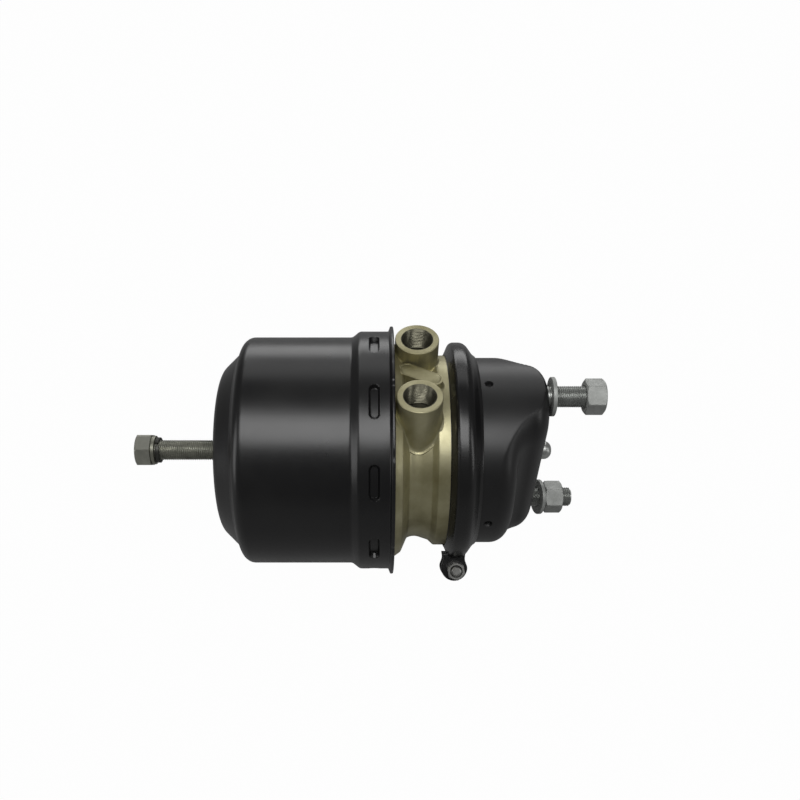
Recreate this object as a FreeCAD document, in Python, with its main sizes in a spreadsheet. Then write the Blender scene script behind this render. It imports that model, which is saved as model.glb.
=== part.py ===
"""Combined service and parking air brake chamber for a disc brake, as a parametric document.

Frame: the origin is the centre of the mounting face.  +X runs along the chamber's axis towards the
brake, the two mounting studs stand on the Z axis, and the two air ports point to +Z.  The release
bolt is wound out, so the power spring is caged and the push rod is back.  Lengths are millimetres.
"""

import FreeCAD
import Part
import math
import os
import re
import Sketcher

DOCUMENT_NAME = "AirBrakeChamber"
OUTPUT_FOLDER = "parts"
# Half the side of a regular octagon as a share of half its width across flats.
OCTAGON_SHARE = math.tan(math.radians(22.5))
# Slope of the 30 degree chamfer that is turned on a hexagon's corners, and how wide its face stays.
CHAMFER_SLOPE = math.tan(math.radians(30))
CHAMFER_FACE = 0.97

# Every driving dimension, then the stations worked out from them.  A station is an X position.
SIZES = (
    ("Travel", None),
    ("stroke", 54),
    ("thread_pitch", 1.5),
    ("cutter_margin", 1),
    ("full_round_margin", 0.1),
    ("Mounting face and studs", None),
    ("stud_spacing", 120.65),
    ("stud_radius", 8),
    ("stud_reach", 38),
    ("stud_hole_gap", 0.2),
    ("stud_head_width", 18),
    ("stud_head_thickness", 6),
    ("stud_head_inboard", 12.3),
    ("stud_head_outboard", 4.5),
    ("washer_radius", 15),
    ("washer_bore_gap", 0.5),
    ("washer_thickness", 3),
    ("nut_flats", 24),
    ("nut_height", 14.8),
    ("upper_washer_station", 2),
    ("upper_washer_tilt", 0),
    ("upper_nut_station", 27.5),
    ("lower_washer_station", 9.1),
    ("lower_washer_tilt", 11),
    ("washer_tilt_axis", 41.5),
    ("lower_nut_station", 15),
    ("nut_turn", 11.5),
    ("Service housing", None),
    ("service_wall", 3.5),
    ("service_radius", 73.6),
    ("service_depth", 63.5),
    ("shoulder_depth", 25),
    ("shoulder_round", 13),
    ("plateau_half_width", 26),
    ("plateau_half_length", 76),
    ("plateau_end_radius", 73),
    ("plateau_corner", 25.9),
    ("plateau_height", 41),
    ("plateau_taper", 17),
    ("plateau_edge_round", 12),
    ("rod_hole_radius", 17),
    ("drain_radius", 3.15),
    ("drain_depth", 45),
    ("mouth_step", 0.9),
    ("mouth_flare", 8),
    ("Clamp ring", None),
    ("clamp_crown_gap", 3.2),
    ("clamp_left_foot_gap", 0.3),
    ("clamp_right_foot_gap", 0.4),
    ("clamp_sheet", 2.4),
    ("clamp_left_overhang", 3.6),
    ("clamp_right_overhang", 3.5),
    ("clamp_left_spread", 4.3),
    ("clamp_right_spread", 8.7),
    ("clamp_left_leg", 2.6),
    ("clamp_right_leg", 3),
    ("clamp_gap", 0.2),
    ("clamp_left_bend", 4),
    ("clamp_right_bend", 8),
    ("lip_height", 8.9),
    ("ear_width", 21),
    ("ear_offset", -1),
    ("ear_thickness", 4.5),
    ("ear_gap", 9),
    ("ear_reach", 7.7),
    ("ear_root_depth", 2.2),
    ("ear_angle", -48.5),
    ("clamp_bolt_rise", 1.9),
    ("clamp_bolt_radius", 4),
    ("clamp_bolt_gap", 0.3),
    ("clamp_bolt_flats", 13),
    ("clamp_bolt_head", 5.3),
    ("clamp_nut_height", 6.8),
    ("clamp_bolt_overrun", 2.5),
    ("Diaphragm", None),
    ("bead_thickness", 3.5),
    ("bead_gap", 0.2),
    ("diaphragm_wall", 3.5),
    ("diaphragm_seat_gap", 0.8),
    ("Centre flange", None),
    ("rim_length", 5.3),
    ("rim_width", 11),
    ("rim_step", 1.9),
    ("rim_root_drop", 3.9),
    ("rim_root_width", 4.2),
    ("waist_drop", 5.6),
    ("waist_offset", 31.5),
    ("shoulder_foot_rise", 2),
    ("shoulder_foot_offset", 37.3),
    ("shoulder_edge_drop", 4.1),
    ("shoulder_edge_offset", 42.2),
    ("collar_step", 9),
    ("flange_length", 48),
    ("spigot_length", 24),
    ("spigot_gap", 0.15),
    ("spigot_wall", 7.35),
    ("cast_edge_round", 1.5),
    ("cast_fillet", 3),
    ("cast_foot_round", 4),
    ("shoulder_foot_round", 3),
    ("waist_round", 12),
    ("bowl_edge_round", 1),
    ("bowl_depth", 27),
    ("bowl_mouth_step", 3),
    ("bowl_mouth_depth", 3),
    ("bowl_floor_radius", 50),
    ("bowl_round", 7),
    ("web_thickness", 18),
    ("pocket_foot_step", 2.5),
    ("pocket_step", 6),
    ("hub_wall", 6.4),
    ("hub_length", 36),
    ("hub_lip", 2),
    ("hub_lip_gap", 0.4),
    ("bush_wall", 2.6),
    ("ring_groove_width", 3.4),
    ("ring_groove_depth", 2.7),
    ("ring_groove_inset", 1.4),
    ("ring_wire", 2.6),
    ("crimp_groove_width", 7.6),
    ("crimp_groove_depth", 2.4),
    ("Air ports", None),
    ("port_offset", 30),
    ("port_station_offset", 30.8),
    ("port_rise", 5.7),
    ("port_boss_radius", 16.5),
    ("port_boss_root", 44),
    ("port_bore", 10.25),
    ("port_depth", 18),
    ("port_chamfer", 1.6),
    ("passage_radius", 6),
    ("passage_foot", 50),
    ("drilling_radius", 5),
    ("drilling_reach", 16),
    ("pad_drop", 3.3),
    ("pad_half_width", 7),
    ("pad_half_length", 18),
    ("pad_angle", -28),
    ("pad_shift", 2),
    ("Spring housing", None),
    ("sheet_wall", 2.8),
    ("skirt_radius", 94.3),
    ("rim_curl_height", 4),
    ("rim_curl", 2.2),
    ("rim_curl_foot", 1.5),
    ("flare_height", 4.6),
    ("flare_margin", 2),
    ("flare_length", 5.8),
    ("flare_round", 4.5),
    ("barrel_length", 82.3),
    ("barrel_round", 9.3),
    ("valley_step", 4.8),
    ("valley_drop", 12),
    ("valley_round", 2.8),
    ("dome_depth", 13.7),
    ("dome_drop", 13.3),
    ("dome_round", 12.8),
    ("crest_depth", 6.9),
    ("crest_radius", 24),
    ("crest_round", 4),
    ("recess_depth", 18.3),
    ("recess_radius", 18.5),
    ("recess_round", 3.2),
    ("bolt_hole_radius", 9.6),
    ("crimp_count", 10),
    ("crimp_length", 26.4),
    ("crimp_width", 7.6),
    ("crimp_depth", 1.7),
    ("crimp_station", 14.8),
    ("crimp_turn", 2),
    ("Parking piston", None),
    ("piston_stop_gap", 5),
    ("piston_gap", 1),
    ("piston_disc", 8),
    ("piston_skirt", 20),
    ("piston_wall", 5.9),
    ("piston_chamfer", 4),
    ("piston_hub_wall", 5),
    ("piston_hub_length", 6),
    ("piston_floor", 5),
    ("seal_width", 6),
    ("seal_depth", 3.5),
    ("seal_fit", 0.05),
    ("seal_side_gap", 0.1),
    ("seal_spacing", 9.5),
    ("seal_inset", 3.5),
    ("tube_radius", 16),
    ("tube_wall", 2.5),
    ("tube_fit", 0.05),
    ("tube_end_pad", 2),
    ("tube_plug_length", 8),
    ("tube_seal_width", 5),
    ("piece_gap", 0.2),
    ("Springs", None),
    ("power_wire", 11),
    ("power_turns", 4),
    ("power_side_gap", 1.5),
    ("power_seat_shift", 1.45),
    ("power_dome_gap", 4),
    ("return_wire", 4),
    ("return_turns", 6),
    ("return_big_radius", 38),
    ("return_small_radius", 19.1),
    ("return_seat_gap", 0.95),
    ("coil_gap", 0.3),
    ("Release bolt", None),
    ("bolt_radius", 8),
    ("bolt_fit", 0.06),
    ("bolt_shown", 45.8),
    ("bolt_head_flats", 24),
    ("bolt_head_height", 12.1),
    ("bolt_head_turn", -18.5),
    ("flat_washer_radius", 11.5),
    ("flat_washer_thickness", 3),
    ("spring_washer_radius", 10.2),
    ("spring_washer_thickness", 4),
    ("catch_radius", 13),
    ("catch_length", 8),
    ("bolt_tail", 3),
    ("release_nut_flats", 27),
    ("release_nut_height", 15),
    ("dust_ring_radius", 12),
    ("dust_ring_flange", 2.4),
    ("Push rod and boot", None),
    ("plate_gap", 4),
    ("plate_thickness", 3),
    ("plate_edge", 1),
    ("plate_hub_radius", 14),
    ("plate_hub_length", 6),
    ("rod_radius", 9),
    ("rod_neck_station", -16),
    ("rod_tip_radius", 7.25),
    ("rod_tip_station", 12),
    ("boot_crest", 15),
    ("boot_valley", 10.8),
    ("boot_skin", 1.2),
    ("boot_flange", 2),
    ("boot_folds", 4),
    ("boot_length", 44),
    ("boot_cuff", 5),
    ("boot_ring_radius", 13.6),
    ("Stations", None),
    ("stud_height", "=stud_spacing / 2"),
    ("housing_seat", "=-service_depth"),
    ("flange_seat", "=housing_seat - bead_thickness"),
    ("collar_station", "=flange_seat - flange_length"),
    ("spigot_station", "=collar_station - spigot_length"),
    ("mouth_radius", "=service_radius + mouth_step"),
    ("lip_radius", "=service_radius + lip_height"),
    ("bead_radius", "=lip_radius - bead_gap"),
    ("rim_radius", "=service_radius + rim_step"),
    ("rim_root_radius", "=rim_radius - rim_root_drop"),
    ("waist_radius", "=service_radius - waist_drop"),
    ("shoulder_foot_radius", "=waist_radius + shoulder_foot_rise"),
    ("bowl_mouth_radius", "=mouth_radius - bowl_mouth_step"),
    ("clamp_crown_radius", "=lip_radius + clamp_crown_gap"),
    ("clamp_left_foot", "=rim_radius + clamp_left_foot_gap"),
    ("clamp_right_foot", "=service_radius + clamp_right_foot_gap"),
    ("ear_lobe_radius", "=clamp_crown_radius + ear_reach"),
    ("ear_root_radius", "=clamp_crown_radius - ear_root_depth"),
    ("clamp_bolt_station", "=ear_lobe_radius + clamp_bolt_rise"),
    ("crown_left", "=flange_seat - clamp_left_overhang"),
    ("crown_right", "=housing_seat + clamp_right_overhang"),
    ("left_slope", "=clamp_left_spread / (clamp_crown_radius - clamp_left_foot)"),
    ("right_slope", "=clamp_right_spread / (clamp_crown_radius - clamp_right_foot)"),
    ("left_inner", "=crown_left + clamp_left_leg"),
    ("right_inner", "=crown_right - clamp_right_leg"),
    ("bowl_station", "=flange_seat - bowl_depth"),
    ("web_station", "=bowl_station - web_thickness"),
    ("hub_station", "=bowl_station - hub_length"),
    ("port_station", "=flange_seat - port_station_offset"),
    ("skirt_bore", "=skirt_radius - sheet_wall"),
    ("tube_bore", "=tube_radius - tube_wall"),
    ("piston_hub_radius", "=tube_radius + piston_hub_wall"),
    ("seal_bore", "=tube_radius + bush_wall"),
    ("hub_radius", "=seal_bore + hub_wall"),
    ("pocket_inner_radius", "=hub_radius + pocket_foot_step"),
    ("plate_radius", "=bowl_floor_radius - plate_gap"),
    ("rim_curl_radius", "=skirt_radius + rim_curl_height"),
    ("barrel_radius", "=skirt_radius - flare_height"),
    ("valley_radius", "=barrel_radius - valley_drop"),
    ("dome_radius", "=valley_radius - dome_drop"),
    ("spigot_radius", "=skirt_bore - spigot_gap"),
    ("spigot_bore", "=spigot_radius - spigot_wall"),
    ("pocket_outer_radius", "=spigot_bore - pocket_step"),
    ("collar_radius", "=skirt_radius - collar_step"),
    ("shoulder_edge_radius", "=collar_radius - shoulder_edge_drop"),
    ("port_height", "=collar_radius + port_rise"),
    ("pad_height", "=collar_radius - pad_drop"),
    ("barrel_bore", "=barrel_radius - sheet_wall"),
    ("power_big_radius", "=barrel_bore - piston_gap - piston_wall - power_wire / 2 - power_side_gap"),
    ("power_small_radius", "=(dome_radius + recess_radius) / 2 - power_seat_shift"),
    ("ring_groove_station", "=spigot_station + ring_groove_inset + ring_groove_width / 2"),
    ("crimp_centre", "=collar_station - crimp_station"),
    ("flare_station", "=spigot_station - flare_margin"),
    ("barrel_station", "=flare_station - flare_length"),
    ("shoulder_station", "=barrel_station - barrel_length"),
    ("valley_station", "=shoulder_station - valley_step"),
    ("dome_station", "=valley_station - dome_depth"),
    ("crest_station", "=dome_station - crest_depth"),
    ("recess_station", "=crest_station + recess_depth"),
    ("dome_inside", "=recess_station + sheet_wall"),
    ("piston_face", "=spigot_station - piston_stop_gap - stroke"),
    ("piston_back", "=piston_face - piston_disc"),
    ("hub_back", "=piston_back - piston_hub_length"),
    ("tube_start", "=hub_back + piston_floor"),
    ("tube_plug_gap", "=piece_gap / 2"),
    ("tube_end", "=bowl_station - tube_plug_gap - tube_end_pad"),
    ("diaphragm_face", "=bowl_station + diaphragm_seat_gap"),
    ("plate_station", "=diaphragm_face + diaphragm_wall + piece_gap / 2"),
    ("plate_front", "=plate_station + plate_thickness"),
    ("bolt_washer_face", "=crest_station - bolt_shown"),
    ("bolt_seat", "=bolt_washer_face - spring_washer_thickness - flat_washer_thickness - piece_gap"),
    ("catch_station", "=tube_start + piece_gap / 2"),
    ("bolt_end", "=catch_station + catch_length + bolt_tail"),
)

document = FreeCAD.newDocument(DOCUMENT_NAME)
sheet = document.addObject("Spreadsheet::Sheet", "Sizes")
sub_parts = []


def fill_sheet():
    """Write the named sizes to the spreadsheet, one row each, with their names as aliases."""
    for row, (name, value) in enumerate(SIZES, start=1):
        sheet.set(f"A{row}", name)
        if value is None:
            continue
        sheet.set(f"B{row}", str(value))
        sheet.setAlias(f"B{row}", name)
    document.recompute()


NAMES = {name for name, value in SIZES if value is not None}


def bound(text):
    """Return an expression over the sheet's names as the document understands it."""
    return re.sub(r"[a-z][a-z_]*[a-z]", lambda m: f"Sizes.{m[0]}" if m[0] in NAMES else m[0], str(text))


def value(text):
    """Return the number that an expression over the sheet's names has now."""
    return float(sheet.evalExpression(bound(text)))


def drive(target, **properties):
    """Bind properties of an object to expressions over the sheet's names."""
    for name, text in properties.items():
        target.setExpression(name.replace("__", "."), bound(text))
    return target


def add(kind, name, **properties):
    """Add an object of a kind with its properties bound to the sheet."""
    return drive(document.addObject(kind, name), **properties)


def origin_plane(body, role):
    """Return the origin plane of a body that has this role."""
    return next(item for item in body.Origin.OriginFeatures if item.Role == role)


def corner_tangents(before, corner, after, radius):
    """Return where an arc of this radius leaves and meets the two sides of a corner, and its centre."""
    to_before = (before - corner).normalize()
    to_after = (after - corner).normalize()
    half = to_before.getAngle(to_after) / 2
    reach = radius / math.tan(half)
    middle = (to_before + to_after).normalize()
    return corner + to_before * reach, corner + to_after * reach, corner + middle * (radius / math.sin(half))


def pin_point(sketch, item, end, across, along):
    """Hold one point of a sketch at two bound distances from its origin."""
    for kind, text in (("DistanceX", across), ("DistanceY", along)):
        index = sketch.addConstraint(Sketcher.Constraint(kind, -1, 1, item, end, value(text)))
        sketch.setExpression(f"Constraints[{index}]", bound(text))


def draw_outline(sketch, corners):
    """Draw a closed outline through corners (x, y) or (x, y, rounding) given as expressions."""
    points = [FreeCAD.Vector(value(corner[0]), value(corner[1]), 0) for corner in corners]
    count = len(points)
    leaves, meets, rounds = list(points), list(points), {}
    for index, corner in enumerate(corners):
        if len(corner) == 3:
            following = points[(index + 1) % count]
            ends = corner_tangents(points[index - 1], points[index], following, value(corner[2]))
            meets[index], leaves[index], rounds[index] = ends
    lines = [sketch.addGeometry(Part.LineSegment(leaves[i], meets[(i + 1) % count])) for i in range(count)]
    for index, corner in enumerate(corners):
        before, after = lines[index - 1], lines[index]
        if index not in rounds:
            sketch.addConstraint(Sketcher.Constraint("Coincident", before, 2, after, 1))
            pin_point(sketch, after, 1, corner[0], corner[1])
            continue
        centre = rounds[index]
        start, stop = meets[index], leaves[index]
        turn = (start - centre).cross(stop - centre).z
        first, last = (start, stop) if turn > 0 else (stop, start)
        angles = [math.atan2(point.y - centre.y, point.x - centre.x) for point in (first, last)]
        circle = Part.Circle(centre, FreeCAD.Vector(0, 0, 1), value(corner[2]))
        arc = sketch.addGeometry(Part.ArcOfCircle(circle, angles[0], angles[1]))
        mark = sketch.addGeometry(Part.Point(points[index]), True)
        pin_point(sketch, mark, 1, corner[0], corner[1])
        sketch.addConstraint(Sketcher.Constraint("PointOnObject", mark, 1, before))
        sketch.addConstraint(Sketcher.Constraint("PointOnObject", mark, 1, after))
        near, far = (1, 2) if turn > 0 else (2, 1)
        sketch.addConstraint(Sketcher.Constraint("Tangent", before, 2, arc, near))
        sketch.addConstraint(Sketcher.Constraint("Tangent", arc, far, after, 1))
        radius = sketch.addConstraint(Sketcher.Constraint("Radius", arc, value(corner[2])))
        sketch.setExpression(f"Constraints[{radius}]", bound(corner[2]))


def new_sketch(body, name, role="XY_Plane"):
    """Return an empty sketch of a body on one of its origin planes."""
    sketch = body.newObject("Sketcher::SketchObject", name)
    sketch.AttachmentSupport = [(origin_plane(body, role), "")]
    sketch.MapMode = "FlatFace"
    return sketch


def turned_body(name, corners):
    """Return a body turned about the X axis from an outline of (station, radius) corners."""
    body = document.addObject("PartDesign::Body", name)
    sketch = new_sketch(body, f"{name}_outline")
    draw_outline(sketch, corners)
    document.recompute()
    turned = body.newObject("PartDesign::Revolution", f"{name}_turned")
    turned.Profile = sketch
    turned.ReferenceAxis = (sketch, ["H_Axis"])
    turned.Angle = 360
    document.recompute()
    return body


def ring_outline(left, right, inner, outer):
    """Return the outline of a plain ring between two stations."""
    return [(left, inner), (right, inner), (right, outer), (left, outer)]


def rod(name, radius, start, length, along="X", across="0", up="0"):
    """Return a cylinder along one axis, whose start and length are bound to the sheet."""
    turns = {"X": ((0, 1, 0), 90), "Y": ((1, 0, 0), -90), "Z": ((0, 0, 1), 0)}
    axis, angle = turns[along]
    cylinder = add("Part::Cylinder", name, Radius=radius, Height=length)
    cylinder.Placement.Rotation = FreeCAD.Rotation(FreeCAD.Vector(*axis), angle)
    places = {"X": (start, across, up), "Y": (across, start, up), "Z": (across, up, start)}[along]
    for letter, text in zip("xyz", places):
        cylinder.setExpression(f"Placement.Base.{letter}", bound(text))
    return cylinder


def block(name, low, size):
    """Return a box from its low corner and its three sizes, all bound to the sheet."""
    box = add("Part::Box", name, Length=size[0], Width=size[1], Height=size[2])
    for letter, text in zip("xyz", low):
        box.setExpression(f"Placement.Base.{letter}", bound(text))
    return box


def hex_prism(name, flats, start, length, up="0", turn=0.0):
    """Return a hexagonal prism along X with a size across its flats, turned about X by some degrees."""
    prism = add("Part::Prism", name, Circumradius=f"({flats}) / 2 / cos(30)", Height=length)
    prism.Polygon = 6
    prism.Placement.Rotation = (
        FreeCAD.Rotation(FreeCAD.Vector(1, 0, 0), turn) * FreeCAD.Rotation(FreeCAD.Vector(0, 1, 0), 90))
    for letter, text in zip("xyz", (start, "0", up)):
        prism.setExpression(f"Placement.Base.{letter}", bound(text))
    return prism


def fused(name, *pieces):
    """Return the union of pieces."""
    union = document.addObject("Part::MultiFuse", name)
    union.Shapes = list(pieces)
    return union


def shared(name, *pieces):
    """Return what the pieces have in common."""
    common = document.addObject("Part::MultiCommon", name)
    common.Shapes = list(pieces)
    return common


def cut(name, base, *tools):
    """Return a piece with others taken away from it."""
    tool = tools[0] if len(tools) == 1 else fused(f"{name}_tools", *tools)
    result = document.addObject("Part::Cut", name)
    result.Base = base
    result.Tool = tool
    return result


def keep(piece, label):
    """Name a finished sub-part, which is written out under this label."""
    piece.Label = label
    sub_parts.append(piece)
    return piece


def grouped(label, *pieces):
    """Keep several separate solids as one sub-part."""
    compound = document.addObject("Part::Compound", f"{label}_group")
    compound.Links = list(pieces)
    return keep(compound, label)


def spring_housing():
    """Pressed shell: skirt with a curled rim, flared barrel, stepped dome and a recess for the bolt."""
    body = turned_body("spring_shell", [
        ("collar_station", "0"),
        ("collar_station", "skirt_radius"),
        ("flare_station", "skirt_radius", "flare_round"),
        ("barrel_station", "barrel_radius", "flare_round"),
        ("shoulder_station", "barrel_radius", "barrel_round"),
        ("valley_station", "valley_radius", "valley_round"),
        ("dome_station", "dome_radius", "dome_round"),
        ("crest_station", "crest_radius", "crest_round"),
        ("recess_station", "recess_radius", "recess_round"),
        ("recess_station", "0"),
    ])
    solid = body.Tip
    mouth = [
        f"Face{index}" for index, face in enumerate(solid.Shape.Faces, start=1)
        if abs(face.BoundBox.XMin - value("collar_station")) < 1e-6 and face.BoundBox.XLength < 1e-6
    ]
    hollow = body.newObject("PartDesign::Thickness", "spring_shell_hollow")
    hollow.Base = (solid, mouth)
    hollow.Reversed = True
    hollow.Join = 1
    drive(hollow, Value="sheet_wall")
    document.recompute()
    curl = turned_body("spring_shell_curl", [
        ("collar_station", "skirt_bore"),
        ("collar_station", "rim_curl_radius"),
        ("collar_station - rim_curl", "rim_curl_radius"),
        ("collar_station - rim_curl - rim_curl_foot", "skirt_radius"),
        ("collar_station - rim_curl - rim_curl_foot", "skirt_bore"),
    ])
    dents = [crimp_dent(index) for index in range(int(value("crimp_count")))]
    hole = rod("release_hole", "bolt_hole_radius", "recess_station - cutter_margin",
               "sheet_wall + 2 * cutter_margin")
    keep(cut("spring_shell_cut", fused("spring_shell_rimmed", body, curl), hole, *dents), "spring_housing")


def crimp_dent(index):
    """Return the cutter of one pressed slot, which holds the skirt to the spigot."""
    body = document.addObject("PartDesign::Body", f"dent_{index}")
    sketch = new_sketch(body, f"dent_{index}_outline")
    half_length = "crimp_length / 2"
    half_width = "crimp_width / 2"
    draw_outline(sketch, [
        ("crimp_centre - " + half_width, "-" + half_length, "crimp_width / 2 - full_round_margin"),
        ("crimp_centre + " + half_width, "-" + half_length, "crimp_width / 2 - full_round_margin"),
        ("crimp_centre + " + half_width, half_length, "crimp_width / 2 - full_round_margin"),
        ("crimp_centre - " + half_width, half_length, "crimp_width / 2 - full_round_margin"),
    ])
    document.recompute()
    pad = body.newObject("PartDesign::Pad", f"dent_{index}_pad")
    pad.Profile = sketch
    drive(pad, Length="rim_curl_radius")
    ring = turned_body(f"dent_ring_{index}", ring_outline(
        "crimp_centre - crimp_width", "crimp_centre + crimp_width",
        "skirt_radius - crimp_depth", "rim_curl_radius"))
    dent = shared(f"dent_cut_{index}", body, ring)
    dent.Placement.Rotation = FreeCAD.Rotation(FreeCAD.Vector(1, 0, 0), 90)
    dent.setExpression("Placement.Rotation.Angle", bound(f"90 + crimp_turn + {index} * 360 / crimp_count"))
    return dent


def centre_flange():
    """Cast flange: spigot and hub for the parking side, waist with two ports, bowl for the diaphragm."""
    lip_left = "left_inner + clamp_gap - left_slope * (clamp_crown_radius - {})"
    groove_left = "ring_groove_station - ring_groove_width / 2"
    groove_right = "ring_groove_station + ring_groove_width / 2"
    crimp_left = "crimp_centre - crimp_groove_width / 2"
    crimp_right = "crimp_centre + crimp_groove_width / 2"
    crimp_bottom = "spigot_radius - crimp_groove_depth"
    lip_bore = "tube_radius + hub_lip_gap"
    body = turned_body("flange_turned", [
        ("spigot_station", "spigot_bore"),
        ("spigot_station", "spigot_radius"),
        (groove_left, "spigot_radius"),
        (groove_left, "spigot_radius - ring_groove_depth"),
        (groove_right, "spigot_radius - ring_groove_depth"),
        (groove_right, "spigot_radius"),
        (crimp_left, "spigot_radius"),
        (crimp_left + " + crimp_groove_depth / 2", crimp_bottom),
        (crimp_right + " - crimp_groove_depth / 2", crimp_bottom),
        (crimp_right, "spigot_radius"),
        ("collar_station", "spigot_radius"),
        ("collar_station", "collar_radius"),
        ("flange_seat - shoulder_edge_offset", "shoulder_edge_radius", "cast_fillet"),
        ("flange_seat - shoulder_foot_offset", "shoulder_foot_radius", "shoulder_foot_round"),
        ("flange_seat - waist_offset", "waist_radius", "waist_round"),
        ("flange_seat - rim_length - rim_width - rim_root_width", "rim_root_radius", "cast_fillet"),
        ("flange_seat - rim_length - rim_width", "rim_radius", "cast_edge_round"),
        (lip_left.format("rim_radius"), "rim_radius"),
        (lip_left.format("lip_radius"), "lip_radius"),
        ("flange_seat", "lip_radius"),
        ("flange_seat", "mouth_radius"),
        ("flange_seat - bowl_mouth_depth", "bowl_mouth_radius", "bowl_edge_round"),
        ("bowl_station", "bowl_floor_radius", "bowl_round"),
        ("bowl_station", lip_bore),
        ("bowl_station - hub_lip", lip_bore),
        ("bowl_station - hub_lip", "seal_bore"),
        ("hub_station + hub_lip", "seal_bore"),
        ("hub_station + hub_lip", lip_bore),
        ("hub_station", lip_bore),
        ("hub_station", "hub_radius", "cast_edge_round"),
        ("web_station", "pocket_inner_radius", "cast_fillet"),
        ("web_station", "pocket_outer_radius", "cast_foot_round"),
    ])
    solids = [body]
    tools = []
    for side, sign, reach in (("parking", -1, "-drilling_reach"), ("service", 1, "drilling_reach")):
        across = f"{sign} * port_offset"
        place = {"along": "Z", "across": "port_station", "up": across}
        solids.append(rod(f"{side}_boss", "port_boss_radius", "port_boss_root",
                          "port_height - port_boss_root", **place))
        tools.append(rod(f"{side}_tapping", "port_bore", "port_height - port_depth",
                         "port_depth + cutter_margin", **place))
        tools.append(rod(f"{side}_passage", "passage_radius", "passage_foot",
                         "port_height - port_depth - passage_foot + cutter_margin", **place))
        low = "port_station" if sign > 0 else "port_station - drilling_reach"
        tools.append(rod(f"{side}_drilling", "drilling_radius", low, "drilling_reach",
                         across=across, up="passage_foot + drilling_radius"))
        chamfer = add("Part::Cone", f"{side}_chamfer", Radius1="port_bore",
                      Radius2="port_bore + port_chamfer", Height="port_chamfer")
        drive(chamfer, Placement__Base__x="port_station", Placement__Base__y=across,
              Placement__Base__z="port_height - port_chamfer")
        tools.append(chamfer)
    solids.append(port_pad())
    tools.append(turned_body("flange_bowl", [
        ("bowl_station", "0"),
        ("bowl_station", "bowl_floor_radius", "bowl_round"),
        ("flange_seat - bowl_mouth_depth", "bowl_mouth_radius", "bowl_edge_round"),
        ("flange_seat", "mouth_radius"),
        ("flange_seat + cutter_margin", "mouth_radius"),
        ("flange_seat + cutter_margin", "0"),
    ]))
    keep(cut("flange_drilled", fused("flange_cast", *solids), *tools), "centre_flange")


def port_pad():
    """Return the flat slanting pad that joins the two port bosses."""
    body = document.addObject("PartDesign::Body", "port_pad_body")
    sketch = new_sketch(body, "port_pad_outline")
    rounding = "pad_half_width - full_round_margin"
    draw_outline(sketch, [
        ("-pad_half_length", "-pad_half_width", rounding),
        ("pad_half_length", "-pad_half_width", rounding),
        ("pad_half_length", "pad_half_width", rounding),
        ("-pad_half_length", "pad_half_width", rounding),
    ])
    document.recompute()
    pad = body.newObject("PartDesign::Pad", "port_pad_block")
    pad.Profile = sketch
    drive(pad, Length="pad_height - port_boss_root")
    pad_turn = document.addObject("Part::Compound", "port_pad_turned")
    pad_turn.Links = [body]
    pad_turn.Placement.Rotation = FreeCAD.Rotation(FreeCAD.Vector(0, 0, 1), value("pad_angle"))
    drive(pad_turn, Placement__Base__x="port_station + pad_shift", Placement__Base__y="pad_shift",
          Placement__Base__z="port_boss_root", Placement__Rotation__Angle="pad_angle")
    return pad_turn


def service_form(name, inset):
    """Return the solid form of the service housing, whose plateau carries the studs, set in by a wall."""
    drum = turned_body(f"{name}_drum", [
        ("housing_seat", "0"),
        ("housing_seat", f"service_radius - {inset}"),
        (f"-shoulder_depth - {inset}", f"service_radius - {inset}", f"shoulder_round - {inset}"),
        (f"-shoulder_depth - {inset}", "0"),
    ])
    core = turned_body(f"{name}_core", [
        ("-shoulder_depth - shoulder_round", "0"),
        ("-shoulder_depth - shoulder_round", f"service_radius - {inset}"),
        (f"-({inset})", f"plateau_end_radius - {inset}"),
        (f"-({inset})", "0"),
    ])
    body = document.addObject("PartDesign::Body", f"{name}_plateau")
    sketch = new_sketch(body, f"{name}_plan", "YZ_Plane")
    drive(sketch, AttachmentOffset__Base__z=f"-({inset})")
    width = f"(plateau_half_width - {inset})"
    length = f"(plateau_half_length - {inset})"
    rounding = f"plateau_corner - {inset}"
    draw_outline(sketch, [
        (f"-{width}", f"-{length}", rounding),
        (width, f"-{length}", rounding),
        (width, length, rounding),
        (f"-{width}", length, rounding),
    ])
    document.recompute()
    pad = body.newObject("PartDesign::Pad", f"{name}_plateau_pad")
    pad.Profile = sketch
    pad.Reversed = True
    drive(pad, Length="plateau_height", TaperAngle="plateau_taper")
    document.recompute()
    top = [
        f"Edge{index}" for index, edge in enumerate(pad.Shape.Edges, start=1)
        if abs(edge.BoundBox.XMin + value(inset)) < 1e-6 and edge.BoundBox.XLength < 1e-6
    ]
    rounded = body.newObject("PartDesign::Fillet", f"{name}_plateau_round")
    rounded.Base = (pad, top)
    drive(rounded, Radius=f"plateau_edge_round - {inset}")
    document.recompute()
    return fused(f"{name}_form", drum, shared(f"{name}_raised", body, core))


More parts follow.
